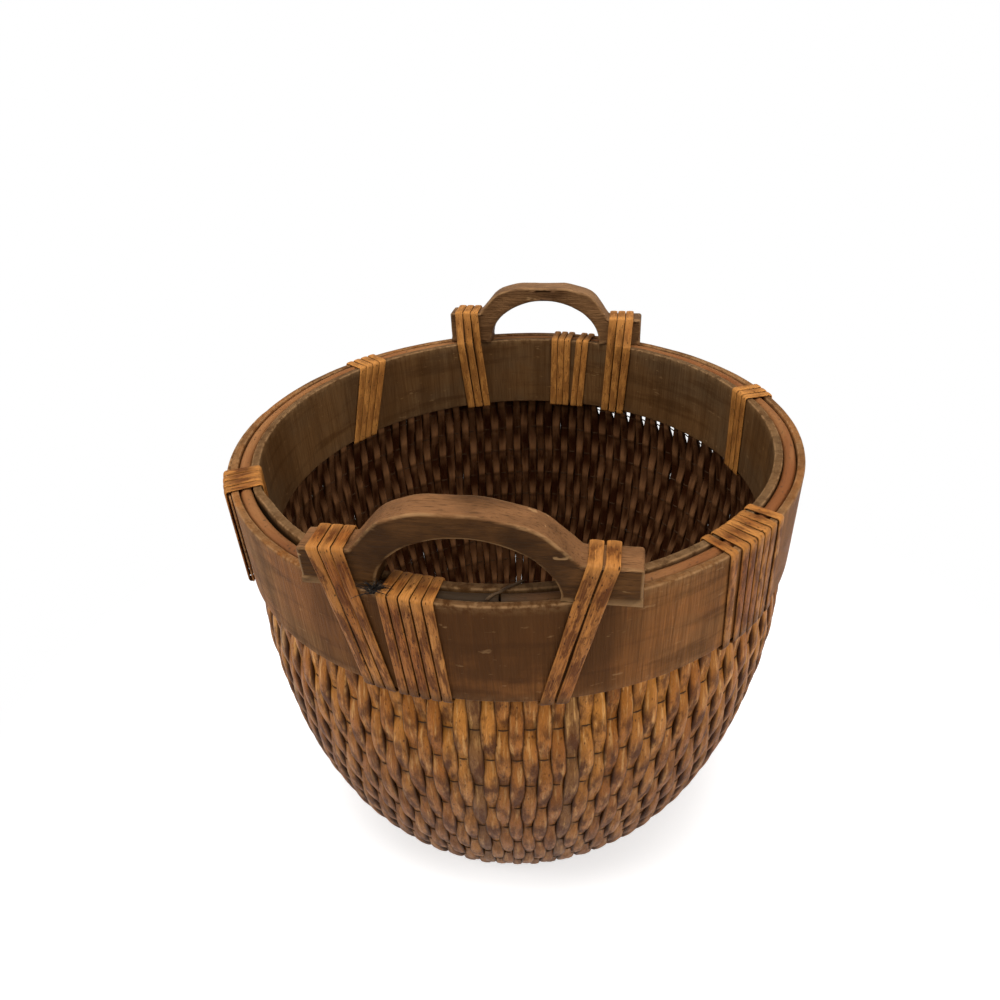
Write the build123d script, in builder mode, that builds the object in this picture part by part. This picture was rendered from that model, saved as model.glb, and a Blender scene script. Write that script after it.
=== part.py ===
"""Rice basket: a woven willow bowl, bentwood rim hoops, two handles and split-cane lashings.

Everything is in millimetres, with +Z up and the origin on the floor under the bowl's centre.
The front handle is on the -Y side, and bearings go anticlockwise from +X, in degrees.
"""

from build123d import *
from math import atan2, cos, degrees, dist, radians, sin, sqrt, tan
import os

# Driving sizes of the bowl
BODY_HIGH = 365.0
BELLY_HIGH = 250.0
BELLY_RADIUS = 214.0
FLAT_RADIUS = 104.0
WALL = 8.0

# Driving sizes of the rim
HOOP_OUTER_RADIUS = 215.0
HOOP_THICK = 5.5
HOOP_HIGH = 74.0
HOOP_EDGE = 1.2
INNER_HOOP_INNER_RADIUS = 194.0
INNER_HOOP_THICK = 6.0
INNER_HOOP_HIGH = 68.0
ROD_DIAMETER = 9.0
ROD_SIDES = 10

# The outer hoop's free end, which lies over its start on the left side
LAP_START = -145.0
LAP_SWEEP = -37.0
LAP_THICK = 2.2
LAP_GAP = 0.5
LAP_INSET = 2.0

# Driving sizes of the handles: planks cut to a bridge, standing on the rim
HANDLE_THICK = 22.0
HANDLE_NEAR_FACE = 183.0
HANDLE_EDGE = 2.2
FOOT_HIGH = 25.0
BACK_LEFT_FOOT_HIGH = 29.5

# Each handle's outline over the top, from its left end: x, height over the rim, corner radius
FRONT_OUTLINE = (
    (-91.0, FOOT_HIGH, 2.5),
    (-60.0, FOOT_HIGH, 2.5),
    (-43.0, 44.5, 30.0),
    (-21.0, 52.0, 40.0),
    (15.0, 52.0, 60.0),
    (46.0, 45.0, 30.0),
    (68.0, FOOT_HIGH, 2.5),
    (101.0, FOOT_HIGH, 2.5),
)
BACK_OUTLINE = (
    (-91.0, BACK_LEFT_FOOT_HIGH, 2.5),
    (-61.0, BACK_LEFT_FOOT_HIGH, 2.5),
    (-44.0, 49.0, 25.0),
    (-24.0, 54.5, 40.0),
    (24.0, 54.5, 40.0),
    (49.0, 48.0, 25.0),
    (65.2, FOOT_HIGH, 2.5),
    (96.5, FOOT_HIGH, 2.5),
)

# Each hand opening, half an ellipse: x of its middle, half its width, and its height
FRONT_HAND = (5.0, 52.0, 36.0)
BACK_HAND = (3.0, 53.5, 41.5)

# Split-cane strips
STRIP_THICK = 1.6
STRIP_BEND = 1.9
SEAT_GAP = 0.08
STRIP_GAP_LEAST = 0.4
SLOT_MARGIN = 0.25

# Worked out from the driving sizes
HOOP_INNER_RADIUS = HOOP_OUTER_RADIUS - HOOP_THICK
INNER_HOOP_OUTER_RADIUS = INNER_HOOP_INNER_RADIUS + INNER_HOOP_THICK
HOOP_LOW = BODY_HIGH - HOOP_HIGH
INNER_HOOP_LOW = BODY_HIGH - INNER_HOOP_HIGH
ROD_RADIUS = ROD_DIAMETER / 2
ROD_RING = (HOOP_INNER_RADIUS + INNER_HOOP_OUTER_RADIUS) / 2 + 0.1
WALL_TOP = BODY_HIGH - ROD_DIAMETER
LAP_OUTER_RADIUS = HOOP_OUTER_RADIUS + LAP_GAP + LAP_THICK
HANDLE_FAR_FACE = HANDLE_NEAR_FACE + HANDLE_THICK

# Middle surface of a strip where it lies against each face
STRIP_SEAT = STRIP_THICK / 2 + SEAT_GAP
STRIP_OUTSIDE = HOOP_OUTER_RADIUS + STRIP_SEAT
STRIP_INSIDE = INNER_HOOP_INNER_RADIUS - STRIP_SEAT - 0.2
STRIP_TOP = BODY_HIGH + STRIP_SEAT
STRIP_LOW_OUTSIDE = HOOP_LOW - 3.0
STRIP_LOW_INSIDE = INNER_HOOP_LOW - 2.0


def polar(radius, bearing, height):
    """Point at a radius and bearing from the bowl's axis."""
    angle = radians(bearing)
    return Vector(radius * cos(angle), radius * sin(angle), height)


def on_circle(radius, x, side, height):
    """Point of a circle round the axis at a given x, on the front (-1) or back (+1) side."""
    return Vector(x, side * sqrt(radius * radius - x * x), height)


def ring(inner, outer, low, high, edge):
    """Hoop of rectangular section with its long edges taken off."""
    with BuildPart() as hoop:
        with BuildSketch(Plane.XZ) as face:
            with Locations(((inner + outer) / 2, (low + high) / 2)):
                Rectangle(outer - inner, high - low)
            chamfer(face.vertices(), edge)
        revolve(axis=Axis.Z)
    return hoop


def arc_plate(inner, outer, low, high, start, sweep):
    """Curved plate: part of a hoop between two bearings, swept the way the sign says."""
    first = min(start, start + sweep)
    with BuildPart() as plate:
        with BuildSketch(Plane.XZ.rotated((0, 0, first))):
            with Locations(((inner + outer) / 2, (low + high) / 2)):
                Rectangle(outer - inner, high - low)
        revolve(axis=Axis.Z, revolution_arc=abs(sweep))
    return plate


def make_bowl(slots):
    """Woven bowl: a shell with an elliptical belly, a flat foot and slots where strips pass."""
    foot = (FLAT_RADIUS, BELLY_HIGH)
    belly = BELLY_RADIUS - FLAT_RADIUS
    with BuildPart() as bowl:
        with BuildSketch(Plane.XZ):
            with BuildLine():
                outside = EllipticalCenterArc(foot, belly, BELLY_HIGH, start_angle=270, arc_size=90)
                inside = EllipticalCenterArc(
                    foot, belly - WALL, BELLY_HIGH - WALL, start_angle=270, arc_size=90)
                Polyline(
                    outside @ 1,
                    (HOOP_INNER_RADIUS, HOOP_LOW),
                    (HOOP_INNER_RADIUS, WALL_TOP),
                    (INNER_HOOP_OUTER_RADIUS, WALL_TOP),
                    (INNER_HOOP_OUTER_RADIUS, INNER_HOOP_LOW),
                    inside @ 1,
                )
                Polyline(inside @ 0, (0, WALL), (0, 0), outside @ 0)
            make_face()
        revolve(axis=Axis.Z)
        for start, sweep in slots:
            low, high = STRIP_LOW_OUTSIDE - 0.4, INNER_HOOP_LOW - 1.5
            cut = arc_plate(
                INNER_HOOP_OUTER_RADIUS - 2, HOOP_INNER_RADIUS + 2, low, high, start, sweep
            )
            add(cut.part, mode=Mode.SUBTRACT)
    return bowl


def make_outer_hoop():
    """Outer bentwood hoop, with the free end that springs a little off its start."""
    hoop = ring(HOOP_INNER_RADIUS, HOOP_OUTER_RADIUS, HOOP_LOW, BODY_HIGH, HOOP_EDGE)
    low, high = HOOP_LOW + LAP_INSET, BODY_HIGH - LAP_INSET
    free = arc_plate(
        HOOP_OUTER_RADIUS + LAP_GAP, LAP_OUTER_RADIUS, low, high, LAP_START, LAP_SWEEP
    )
    root = arc_plate(
        HOOP_OUTER_RADIUS - 1, LAP_OUTER_RADIUS, low, high, LAP_START + LAP_SWEEP, -5.0
    )
    with BuildPart() as whole:
        add(hoop.part)
        add(free.part)
        add(root.part)
    return whole


def make_rim_rod():
    """Round rod between the hoops, open at its butt joint under the front handle."""
    with BuildPart() as rod:
        with BuildSketch(Plane.XZ.rotated((0, 0, -83.2))):
            with Locations((ROD_RING, BODY_HIGH - ROD_RADIUS)):
                RegularPolygon(ROD_RADIUS, ROD_SIDES)
        revolve(axis=Axis.Z, revolution_arc=359.6)
    return rod


def make_handle(side, corners, hand):
    """Handle: a bridge-shaped plank with flat feet, a hand opening and worn edges."""
    middle = side * (HANDLE_NEAR_FACE + HANDLE_FAR_FACE) / 2
    face = Plane(origin=(0, middle, BODY_HIGH), x_dir=(1, 0, 0), z_dir=(0, -1, 0))
    left, right = corners[0][0], corners[-1][0]
    outline = [(x, high) for x, high, radius in corners]
    radii = [radius for x, high, radius in corners]
    hand_middle, hand_half, hand_high = hand
    with BuildPart() as handle:
        with BuildSketch(face):
            with BuildLine():
                FilletPolyline((left, 0), *outline, (right, 0), radius=tuple(radii))
                Line((right, 0), (hand_middle + hand_half, 0))
                EllipticalCenterArc(
                    (hand_middle, 0), hand_half, hand_high, start_angle=0, arc_size=180)
                Line((hand_middle - hand_half, 0), (left, 0))
            make_face()
        extrude(amount=HANDLE_THICK / 2, both=True)
        ends = handle.faces().filter_by(Axis.Y)
        soft = [edge for edge in ends.edges() if edge.center().Z > BODY_HIGH + 0.5]
        chamfer(soft, HANDLE_EDGE)
    return handle


def tangent(place):
    """Level direction square to the radius at a place, anticlockwise."""
    return Vector(-place.Y, place.X, 0).normalized()


def stations(corners, bend):
    """Places, directions and width directions along a path with softly bent corners."""
    places = [place for place, across in corners]
    start = (places[1] - places[0]).normalized()
    rows = [(places[0], start, corners[0][1])]
    for before, (corner, across), after in zip(places, corners[1:], places[2:]):
        arriving = (corner - before).normalized()
        leaving = (after - corner).normalized()
        along = (arriving + leaving).normalized()
        half = radians(arriving.get_angle(leaving)) / 2
        if degrees(half) < 5:
            rows.append((corner, along, across))
            continue
        inward = (leaving - arriving).normalized()
        rows.append((corner - arriving * bend * tan(half), arriving, across))
        rows.append((corner + inward * bend * (1 / cos(half) - 1), along, across))
        rows.append((corner + leaving * bend * tan(half), leaving, across))
    rows.append((places[-1], (places[-1] - places[-2]).normalized(), corners[-1][1]))
    return rows


def section(place, way, across, wide, thick):
    """Four corners of a strip's section at one station of its path."""
    side = (across - way * across.dot(way)).normalized() * (wide / 2)
    rise = way.cross(side).normalized() * (thick / 2)
    return [place + side + rise, place - side + rise, place - side - rise, place + side - rise]


def make_strip(corners, wide, thick=STRIP_THICK, bend=STRIP_BEND):
    """Flat strip along a path of corners, each a place and the direction of its width."""
    rings = [section(*station, wide, thick) for station in stations(corners, bend)]
    faces = [Face(Wire.make_polygon(rings[0])), Face(Wire.make_polygon(rings[-1]))]
    for near, far in zip(rings, rings[1:]):
        for first in range(4):
            second = (first + 1) % 4
            faces.append(Face(Wire.make_polygon((near[first], near[second], far[second]))))
            faces.append(Face(Wire.make_polygon((near[first], far[second], far[first]))))
    with BuildPart() as strip:
        add(Solid(Shell(faces)))
    return strip


def edge_samples(corners, shift, step=0.5):
    """Points and lengths along one edge of a strip, at even small steps."""
    samples = []
    length = 0.0
    for (start, across), (end, unused) in zip(corners, corners[1:]):
        run = end - start
        count = max(1, round(run.length / step))
        for number in range(count):
            place = start + run * (number / count) + across * shift
            samples.append((tuple(place), length + run.length * number / count))
        length += run.length
    return samples


def least_gap(corners, wide, per_turn):
    """Least distance between the facing edges of neighbouring turns."""
    high_edge = edge_samples(corners, wide / 2)
    low_edge = edge_samples(corners, -wide / 2)
    turn = high_edge[-1][1] / per_turn
    least = wide
    for place, length in high_edge:
        for other, reach in low_edge:
            if turn * 0.7 < abs(reach - length) < turn * 1.3:
                least = min(least, dist(place, other))
    return least


def spread(middle, pitch, turns):
    """Evenly spaced places, one for each turn, round a middle."""
    return [middle + (turn - (turns - 1) / 2) * pitch for turn in range(turns)]


def clear_of_hoop(place, radius):
    """The place, moved out along its radius if it lies closer to the axis than the radius."""
    reach = sqrt(place.X ** 2 + place.Y ** 2)
    scale = max(1.0, (radius + 0.05) / reach)
    return Vector(place.X * scale, place.Y * scale, place.Z)


def wind(name, turns, wide, places, side=-1):
    """Strip through the places of all its turns; prints its least gap to itself."""
    corners = [(place, tangent(place) * -side if across is None else across)
               for place, across in places]
    gap = least_gap(corners, wide, turns)
    print(name, "turns", turns, "least gap", round(gap, 2), "mm", "OK" if gap > STRIP_GAP_LEAST else "LOW")
    return make_strip(corners, wide)


def hoop_lashing(name, crest, foot_out, foot_in, turns, pitch, wide, proud=0.0):
    """Winding round both hoops and the rod, from its bearings at the crest and at each foot."""
    outside = STRIP_OUTSIDE + proud
    tuck = (HOOP_INNER_RADIUS + INNER_HOOP_OUTER_RADIUS) / 2
    tuck_high = (STRIP_LOW_OUTSIDE + STRIP_LOW_INSIDE) / 2
    tuck_bearing = (foot_out + foot_in) / 2
    reach = turns * pitch / 2
    places = [(polar(tuck, tuck_bearing - reach, tuck_high), None)]
    for turn in spread(0, pitch, turns):
        low = polar(outside, foot_out + turn, STRIP_LOW_OUTSIDE - proud * 0.3)
        top = polar(outside, crest + turn, STRIP_TOP)
        places.append((low, None))
        places.append((clear_of_hoop((low + top) / 2, outside), None))
        places.append((top, None))
        places.append((polar(STRIP_INSIDE, crest + turn, STRIP_TOP), None))
        places.append((polar(STRIP_INSIDE, foot_in + turn, STRIP_LOW_INSIDE), None))
    places.append((polar(tuck, tuck_bearing + reach, tuck_high), None))
    return wind(name, turns, wide, places)


def handle_lashing(name, side, crest, foot_out, foot_in, turns, pitch, wide, foot=FOOT_HIGH):
    """Winding round the hoops and a handle's foot, from its x at the crest and at each foot."""
    high = BODY_HIGH + foot + STRIP_SEAT
    far = HANDLE_FAR_FACE + STRIP_SEAT
    near = HANDLE_NEAR_FACE - STRIP_SEAT
    tuck = (HOOP_INNER_RADIUS + INNER_HOOP_OUTER_RADIUS) / 2
    tuck_high = (STRIP_LOW_OUTSIDE + STRIP_LOW_INSIDE) / 2
    tuck_x = (foot_out + foot_in) / 2
    reach = turns * pitch / 2
    level = Vector(1, 0, 0)
    places = [(on_circle(tuck, tuck_x - reach, side, tuck_high), None)]
    for turn in spread(0, pitch, turns):
        low = on_circle(STRIP_OUTSIDE, foot_out + turn, side, STRIP_LOW_OUTSIDE)
        eave_x = foot_out + (crest - foot_out) * 0.74 + turn
        hoop_x = abs(eave_x) - wide / 2
        eave_out = max(far, sqrt(STRIP_OUTSIDE ** 2 - hoop_x ** 2) + 0.05)
        eave = Vector(eave_x, side * eave_out, BODY_HIGH)
        inner_x = crest + (foot_in - crest) * 0.26 + turn
        places.append((low, None))
        places.append((clear_of_hoop((low + eave) / 2, STRIP_OUTSIDE), None))
        places.append((eave, level))
        places.append((Vector(crest + turn, side * far, high), level))
        places.append((Vector(crest + turn, side * near, high), level))
        hoop_x = abs(inner_x) + wide / 2
        eave_in = min(near, sqrt(STRIP_INSIDE ** 2 - hoop_x ** 2))
        places.append((Vector(inner_x, side * eave_in, STRIP_TOP), level))
        places.append((on_circle(STRIP_INSIDE, foot_in + turn, side, STRIP_LOW_INSIDE), None))
    places.append((on_circle(tuck, tuck_x + reach, side, tuck_high), None))
    return wind(name, turns, wide, places, side)


def make_rod_tie():
    """Thin cane loop over the rod's butt joint, led aslant over the inner hoop and down."""
    wide = 2.2
    thick = 0.9
    lift = thick / 2 + 0.15
    over = ROD_RADIUS + lift
    places = []
    for lean, bearing in ((44, -85.4), (22, -84.9), (0, -84.3), (-22, -83.6)):
        out = ROD_RING + over * sin(radians(lean))
        up = BODY_HIGH - ROD_RADIUS + over * cos(radians(lean))
        places.append(polar(out, bearing, up))
    inner = INNER_HOOP_INNER_RADIUS - lift
    places.append(polar(INNER_HOOP_OUTER_RADIUS, -82.6, BODY_HIGH + lift))
    places.append(polar(inner, -79.8, BODY_HIGH + lift))
    places.append(polar(inner, -78.8, BODY_HIGH - 16))
    return make_strip([(place, tangent(place)) for place in places], wide, thick, 0.8)


def slot_round(strip):
    """Bearing where the wall's slot for a winding starts, and its sweep."""
    bearings = [
        degrees(atan2(corner.Y, corner.X))
        for corner in strip.vertices() if corner.Z < INNER_HOOP_LOW
    ]
    start = min(bearings) - SLOT_MARGIN
    return start, max(bearings) + SLOT_MARGIN - start


def keep(name, builder):
    """Labels a finished piece, writes its STEP file and prints its volume."""
    builder.part.label = name
    export_step(builder.part, "parts/" + name + ".step")
    print(name, "volume", round(builder.part.volume), "solids", len(builder.part.solids()))


os.makedirs("parts", exist_ok=True)

# Hoop lashings: bearings of the crest, the outer foot and the inner foot, then turns,
# pitch in degrees and strip width
lap_proud = LAP_GAP + LAP_THICK
lashing_left = hoop_lashing(
    "lashing_left", -151.5, -151.5, -151.0, 4, 2.25, 6.8, lap_proud)
lashing_back_left = hoop_lashing(
    "lashing_back_left", 142.5, 144.0, 149.0, 4, 2.2, 6.0)
lashing_back_centre_left = hoop_lashing(
    "lashing_back_centre_left", 84.4, 84.4, 85.0, 3, 1.95, 5.6)
lashing_back_centre_right = hoop_lashing(
    "lashing_back_centre_right", 78.0, 78.5, 79.6, 2, 1.95, 5.6)
lashing_right_back = hoop_lashing(
    "lashing_right_back", 22.5, 22.5, 21.5, 3, 2.3, 6.4)
lashing_right_front = hoop_lashing(
    "lashing_right_front", -38.0, -36.5, -38.0, 7, 2.05, 6.0)
lashing_front_centre = hoop_lashing(
    "lashing_front_centre", -97.6, -96.2, -97.0, 5, -1.88, 5.5)

# Handle lashings: side, x of the crest and of each foot, turns, pitch and strip width.
# On the left the turns run outwards, so that each pass under the hoops lies square to them.
lashing_front_handle_left = handle_lashing(
    "lashing_front_handle_left", -1, -73.4, -53.2, -54.5, 3, -7.6, 6.7)
lashing_front_handle_right = handle_lashing(
    "lashing_front_handle_right", -1, 79.6, 53.4, 60.0, 2, 9.4, 7.4)
lashing_back_handle_left = handle_lashing(
    "lashing_back_handle_left", 1, -73.8, -66.0, -66.5, 3, -7.8, 7.0, BACK_LEFT_FOOT_HIGH)
lashing_back_handle_right = handle_lashing(
    "lashing_back_handle_right", 1, 77.4, 70.0, 72.0, 3, 7.8, 7.0)

lashings = {
    "lashing_left": lashing_left,
    "lashing_back_left": lashing_back_left,
    "lashing_back_centre_left": lashing_back_centre_left,
    "lashing_back_centre_right": lashing_back_centre_right,
    "lashing_right_back": lashing_right_back,
    "lashing_right_front": lashing_right_front,
    "lashing_front_centre": lashing_front_centre,
    "lashing_front_handle_left": lashing_front_handle_left,
    "lashing_front_handle_right": lashing_front_handle_right,
    "lashing_back_handle_left": lashing_back_handle_left,
    "lashing_back_handle_right": lashing_back_handle_right,
}
for name, strip in lashings.items():
    keep(name, strip)

keep("woven_bowl", make_bowl([slot_round(strip) for strip in lashings.values()]))
keep("outer_hoop", make_outer_hoop())
keep("inner_hoop", ring(
    INNER_HOOP_INNER_RADIUS, INNER_HOOP_OUTER_RADIUS, INNER_HOOP_LOW, BODY_HIGH, HOOP_EDGE))
keep("rim_rod", make_rim_rod())
keep("rim_rod_tie", make_rod_tie())
keep("handle_front", make_handle(-1, FRONT_OUTLINE, FRONT_HAND))
keep("handle_back", make_handle(1, BACK_OUTLINE, BACK_HAND))
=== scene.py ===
"""Rice basket: woven willow bowl, bentwood rim, carved handles and split-cane lashings.

Pieces are drawn in millimetres and scaled to metres when they are finished. The studio and
the finishes are in metres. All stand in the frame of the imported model: the floor is z = 0, the
front handle is on the -Y side, and bearings go anticlockwise from +X, in degrees.
"""

import logging
import math
import random
from collections.abc import Iterable
from dataclasses import dataclass, field
from enum import Enum

import bmesh
import bpy
from mathutils import Matrix, Vector, noise


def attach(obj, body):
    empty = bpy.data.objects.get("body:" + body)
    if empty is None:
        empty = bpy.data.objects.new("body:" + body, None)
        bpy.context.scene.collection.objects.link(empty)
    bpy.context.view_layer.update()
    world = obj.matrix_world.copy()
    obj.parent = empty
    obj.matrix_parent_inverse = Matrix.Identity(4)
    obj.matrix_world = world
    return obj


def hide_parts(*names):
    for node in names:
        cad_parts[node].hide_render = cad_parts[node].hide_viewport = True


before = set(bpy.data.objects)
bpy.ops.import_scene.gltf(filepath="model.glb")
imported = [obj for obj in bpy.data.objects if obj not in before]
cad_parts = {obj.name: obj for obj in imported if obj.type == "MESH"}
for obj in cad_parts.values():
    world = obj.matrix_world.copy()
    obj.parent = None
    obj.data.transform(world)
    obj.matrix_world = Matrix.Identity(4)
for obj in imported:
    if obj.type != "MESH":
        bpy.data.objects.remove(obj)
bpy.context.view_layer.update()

log = logging.getLogger("rice_basket")

Colour = tuple[float, float, float]
Triple = tuple[float, float, float]
Socket = bpy.types.NodeSocket
Node = bpy.types.Node
Look = tuple[Socket, Socket | float]
Vert = bmesh.types.BMVert
Edge = bmesh.types.BMEdge
MM = 0.001
EVEN: Triple = (1.0, 1.0, 1.0)


class Slot(Enum):
    """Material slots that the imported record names."""

    WEAVE = "willow_weave"
    OUTER_HOOP = "outer_hoop_wood"
    INNER_HOOP = "inner_hoop_wood"
    RIM_ROD = "rim_rod_cane"
    HANDLE = "handle_wood"
    LASHING = "lashing_cane"


class Side(Enum):
    """The two sides of the rim that carry a handle."""

    FRONT = -1
    BACK = 1


# Each handle's outline over the top, from its left end: x, height over the rim, corner radius
FRONT_OUTLINE = (
    (-91.0, 25.0, 2.5),
    (-60.0, 25.0, 2.5),
    (-43.0, 44.5, 30.0),
    (-21.0, 52.0, 40.0),
    (15.0, 52.0, 60.0),
    (46.0, 45.0, 30.0),
    (68.0, 25.0, 2.5),
    (101.0, 25.0, 2.5),
)
BACK_OUTLINE = (
    (-91.0, 29.5, 2.5),
    (-61.0, 29.5, 2.5),
    (-44.0, 49.0, 25.0),
    (-24.0, 54.5, 40.0),
    (24.0, 54.5, 40.0),
    (49.0, 48.0, 25.0),
    (65.2, 25.0, 2.5),
    (96.5, 25.0, 2.5),
)


def smooth_step(low: float, high: float, value: float) -> float:
    """Rise from 0 at low to 1 at high, with level ends.

    Args:
        low: Value where the rise starts.
        high: Value where the rise ends.
        value: Value to place on the rise.

    Returns:
        A number from 0 to 1.
    """
    share = min(1.0, max(0.0, (value - low) / (high - low)))
    return share * share * (3.0 - 2.0 * share)


def bell(distance: float, width: float) -> float:
    """Soft bump of height 1 that fades to nothing over a width."""
    return math.exp(-((distance / width) ** 2))


def signed_power(value: float, power: float) -> float:
    """Power of a number's size, with the number's own sign."""
    return math.copysign(abs(value) ** power, value)


def polar(radius: float, bearing: float, height: float) -> Vector:
    """Point at a radius and a bearing in degrees from the bowl's axis."""
    angle = math.radians(bearing)
    return Vector((radius * math.cos(angle), radius * math.sin(angle), height))


def on_circle(radius: float, x: float, side: Side, height: float) -> Vector:
    """Point of a circle round the axis at a given x, on one side."""
    return Vector((x, side.value * math.sqrt(radius * radius - x * x), height))


def tangent(place: Vector) -> Vector:
    """Level direction square to the radius at a place, anticlockwise."""
    return Vector((-place.y, place.x, 0.0)).normalized()


@dataclass(frozen=True)
class Fade:
    """Smooth passage of a value, from nothing at its start to an amount where it is full."""

    start: float
    full: float
    amount: float = 1.0


@dataclass(frozen=True)
class Cloud:
    """Noise pattern over the object, or over a mesh attribute when one is named."""

    stretch: Triple
    scale: float
    detail: float
    attribute: str = ""


@dataclass(frozen=True)
class Coat:
    """Thin colour that covers a finish where a noise pattern is dense."""

    cloud: Cloud
    fade: Fade


class Graph:
    """Adds shader nodes to a tree and joins them."""

    def __init__(self, tree: bpy.types.NodeTree) -> None:
        """Keep the tree that the nodes go into."""
        self.tree = tree

    def feed(self, target: Socket, source: object) -> None:
        """Join a socket to a target, or set the target to a constant.

        Args:
            target: Input socket that receives the value.
            source: Output socket, number, or colour of three numbers.
        """
        if isinstance(source, Socket):
            self.tree.links.new(source, target)
        elif isinstance(source, tuple) and target.type == "RGBA":
            target.default_value = (*source, 1.0)
        else:
            target.default_value = source

    def add(
        self, kind: str, inputs: dict[str | int, object] | None = None, **settings: object
    ) -> Node:
        """Add a node with its settings and inputs.

        Args:
            kind: Blender's name of the node type.
            inputs: Input names or numbers, with sockets or constants.
            **settings: Properties of the node.

        Returns:
            The new node.
        """
        node = self.tree.nodes.new(kind)
        for name, value in settings.items():
            setattr(node, name, value)
        for name, source in (inputs or {}).items():
            self.feed(node.inputs[name], source)
        return node

    def place(self, stretch: Triple = EVEN, attribute: str = "") -> Socket:
        """Coordinates of the object, or of a mesh attribute, stretched along each axis."""
        if attribute:
            source = self.add("ShaderNodeAttribute", attribute_name=attribute).outputs["Vector"]
        else:
            source = self.add("ShaderNodeTexCoord").outputs["Object"]
        mapping = self.add("ShaderNodeMapping", {"Vector": source, "Scale": stretch})
        return mapping.outputs["Vector"]

    def value(self, name: str) -> Socket:
        """A mesh attribute used as a number."""
        return self.add("ShaderNodeAttribute", attribute_name=name).outputs["Fac"]

    def noise(self, vector: Socket, scale: object, detail: float) -> Socket:
        """Cloudy noise from 0 to 1, at a number or a socket's scale."""
        inputs = {"Vector": vector, "Scale": scale, "Detail": detail, "Roughness": 0.6}
        return self.add("ShaderNodeTexNoise", inputs).outputs["Fac"]

    def cloud(self, cloud: Cloud) -> Socket:
        """The noise of a pattern."""
        return self.noise(self.place(cloud.stretch, cloud.attribute), cloud.scale, cloud.detail)

    def maths(self, operation: str, first: object, second: object) -> Socket:
        """Arithmetic on two numbers, held within 0 and 1."""
        inputs = {0: first, 1: second}
        node = self.add("ShaderNodeMath", inputs, operation=operation, use_clamp=True)
        return node.outputs[0]

    def times(self, first: object, second: object) -> Socket:
        """Product of two numbers."""
        return self.maths("MULTIPLY", first, second)

    def rise(self, value: Socket, fade: Fade) -> Socket:
        """Smooth passage of a value from 0 to the fade's amount."""
        inputs = {"Value": value, "From Min": fade.start, "From Max": fade.full,
                  "To Max": fade.amount}
        node = self.add("ShaderNodeMapRange", inputs, interpolation_type="SMOOTHSTEP")
        return node.outputs["Result"]

    def blend(self, share: object, first: object, second: object) -> Socket:
        """Blend of two colours.

        Args:
            share: How much of the second colour shows, 0 to 1.
            first: Colour or socket under the blend.
            second: Colour or socket that comes over it.

        Returns:
            The blended colour.
        """
        inputs = {0: share, 6: first, 7: second}
        return self.add("ShaderNodeMix", inputs, data_type="RGBA").outputs[2]

    def coat(self, under: object, coat: Coat, colour: Colour) -> Socket:
        """Colour laid over another where the coat's pattern is dense."""
        return self.blend(self.rise(self.cloud(coat.cloud), coat.fade), under, colour)

    def tint(self, under: object, mask: Socket, share: float, colour: Colour) -> Socket:
        """Colour laid over another by a share of a mask."""
        return self.blend(self.times(mask, share), under, colour)

    def group(self, tree: bpy.types.NodeTree, inputs: dict[str, object]) -> Node:
        """Place a shared node group with its own values."""
        return self.add("ShaderNodeGroup", inputs, node_tree=tree)


def empty_graph(holder: bpy.types.Material | bpy.types.World) -> Graph:
    """Graph of a material or a world, without Blender's own first nodes."""
    holder.use_nodes = True
    holder.node_tree.nodes.clear()
    return Graph(holder.node_tree)


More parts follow.
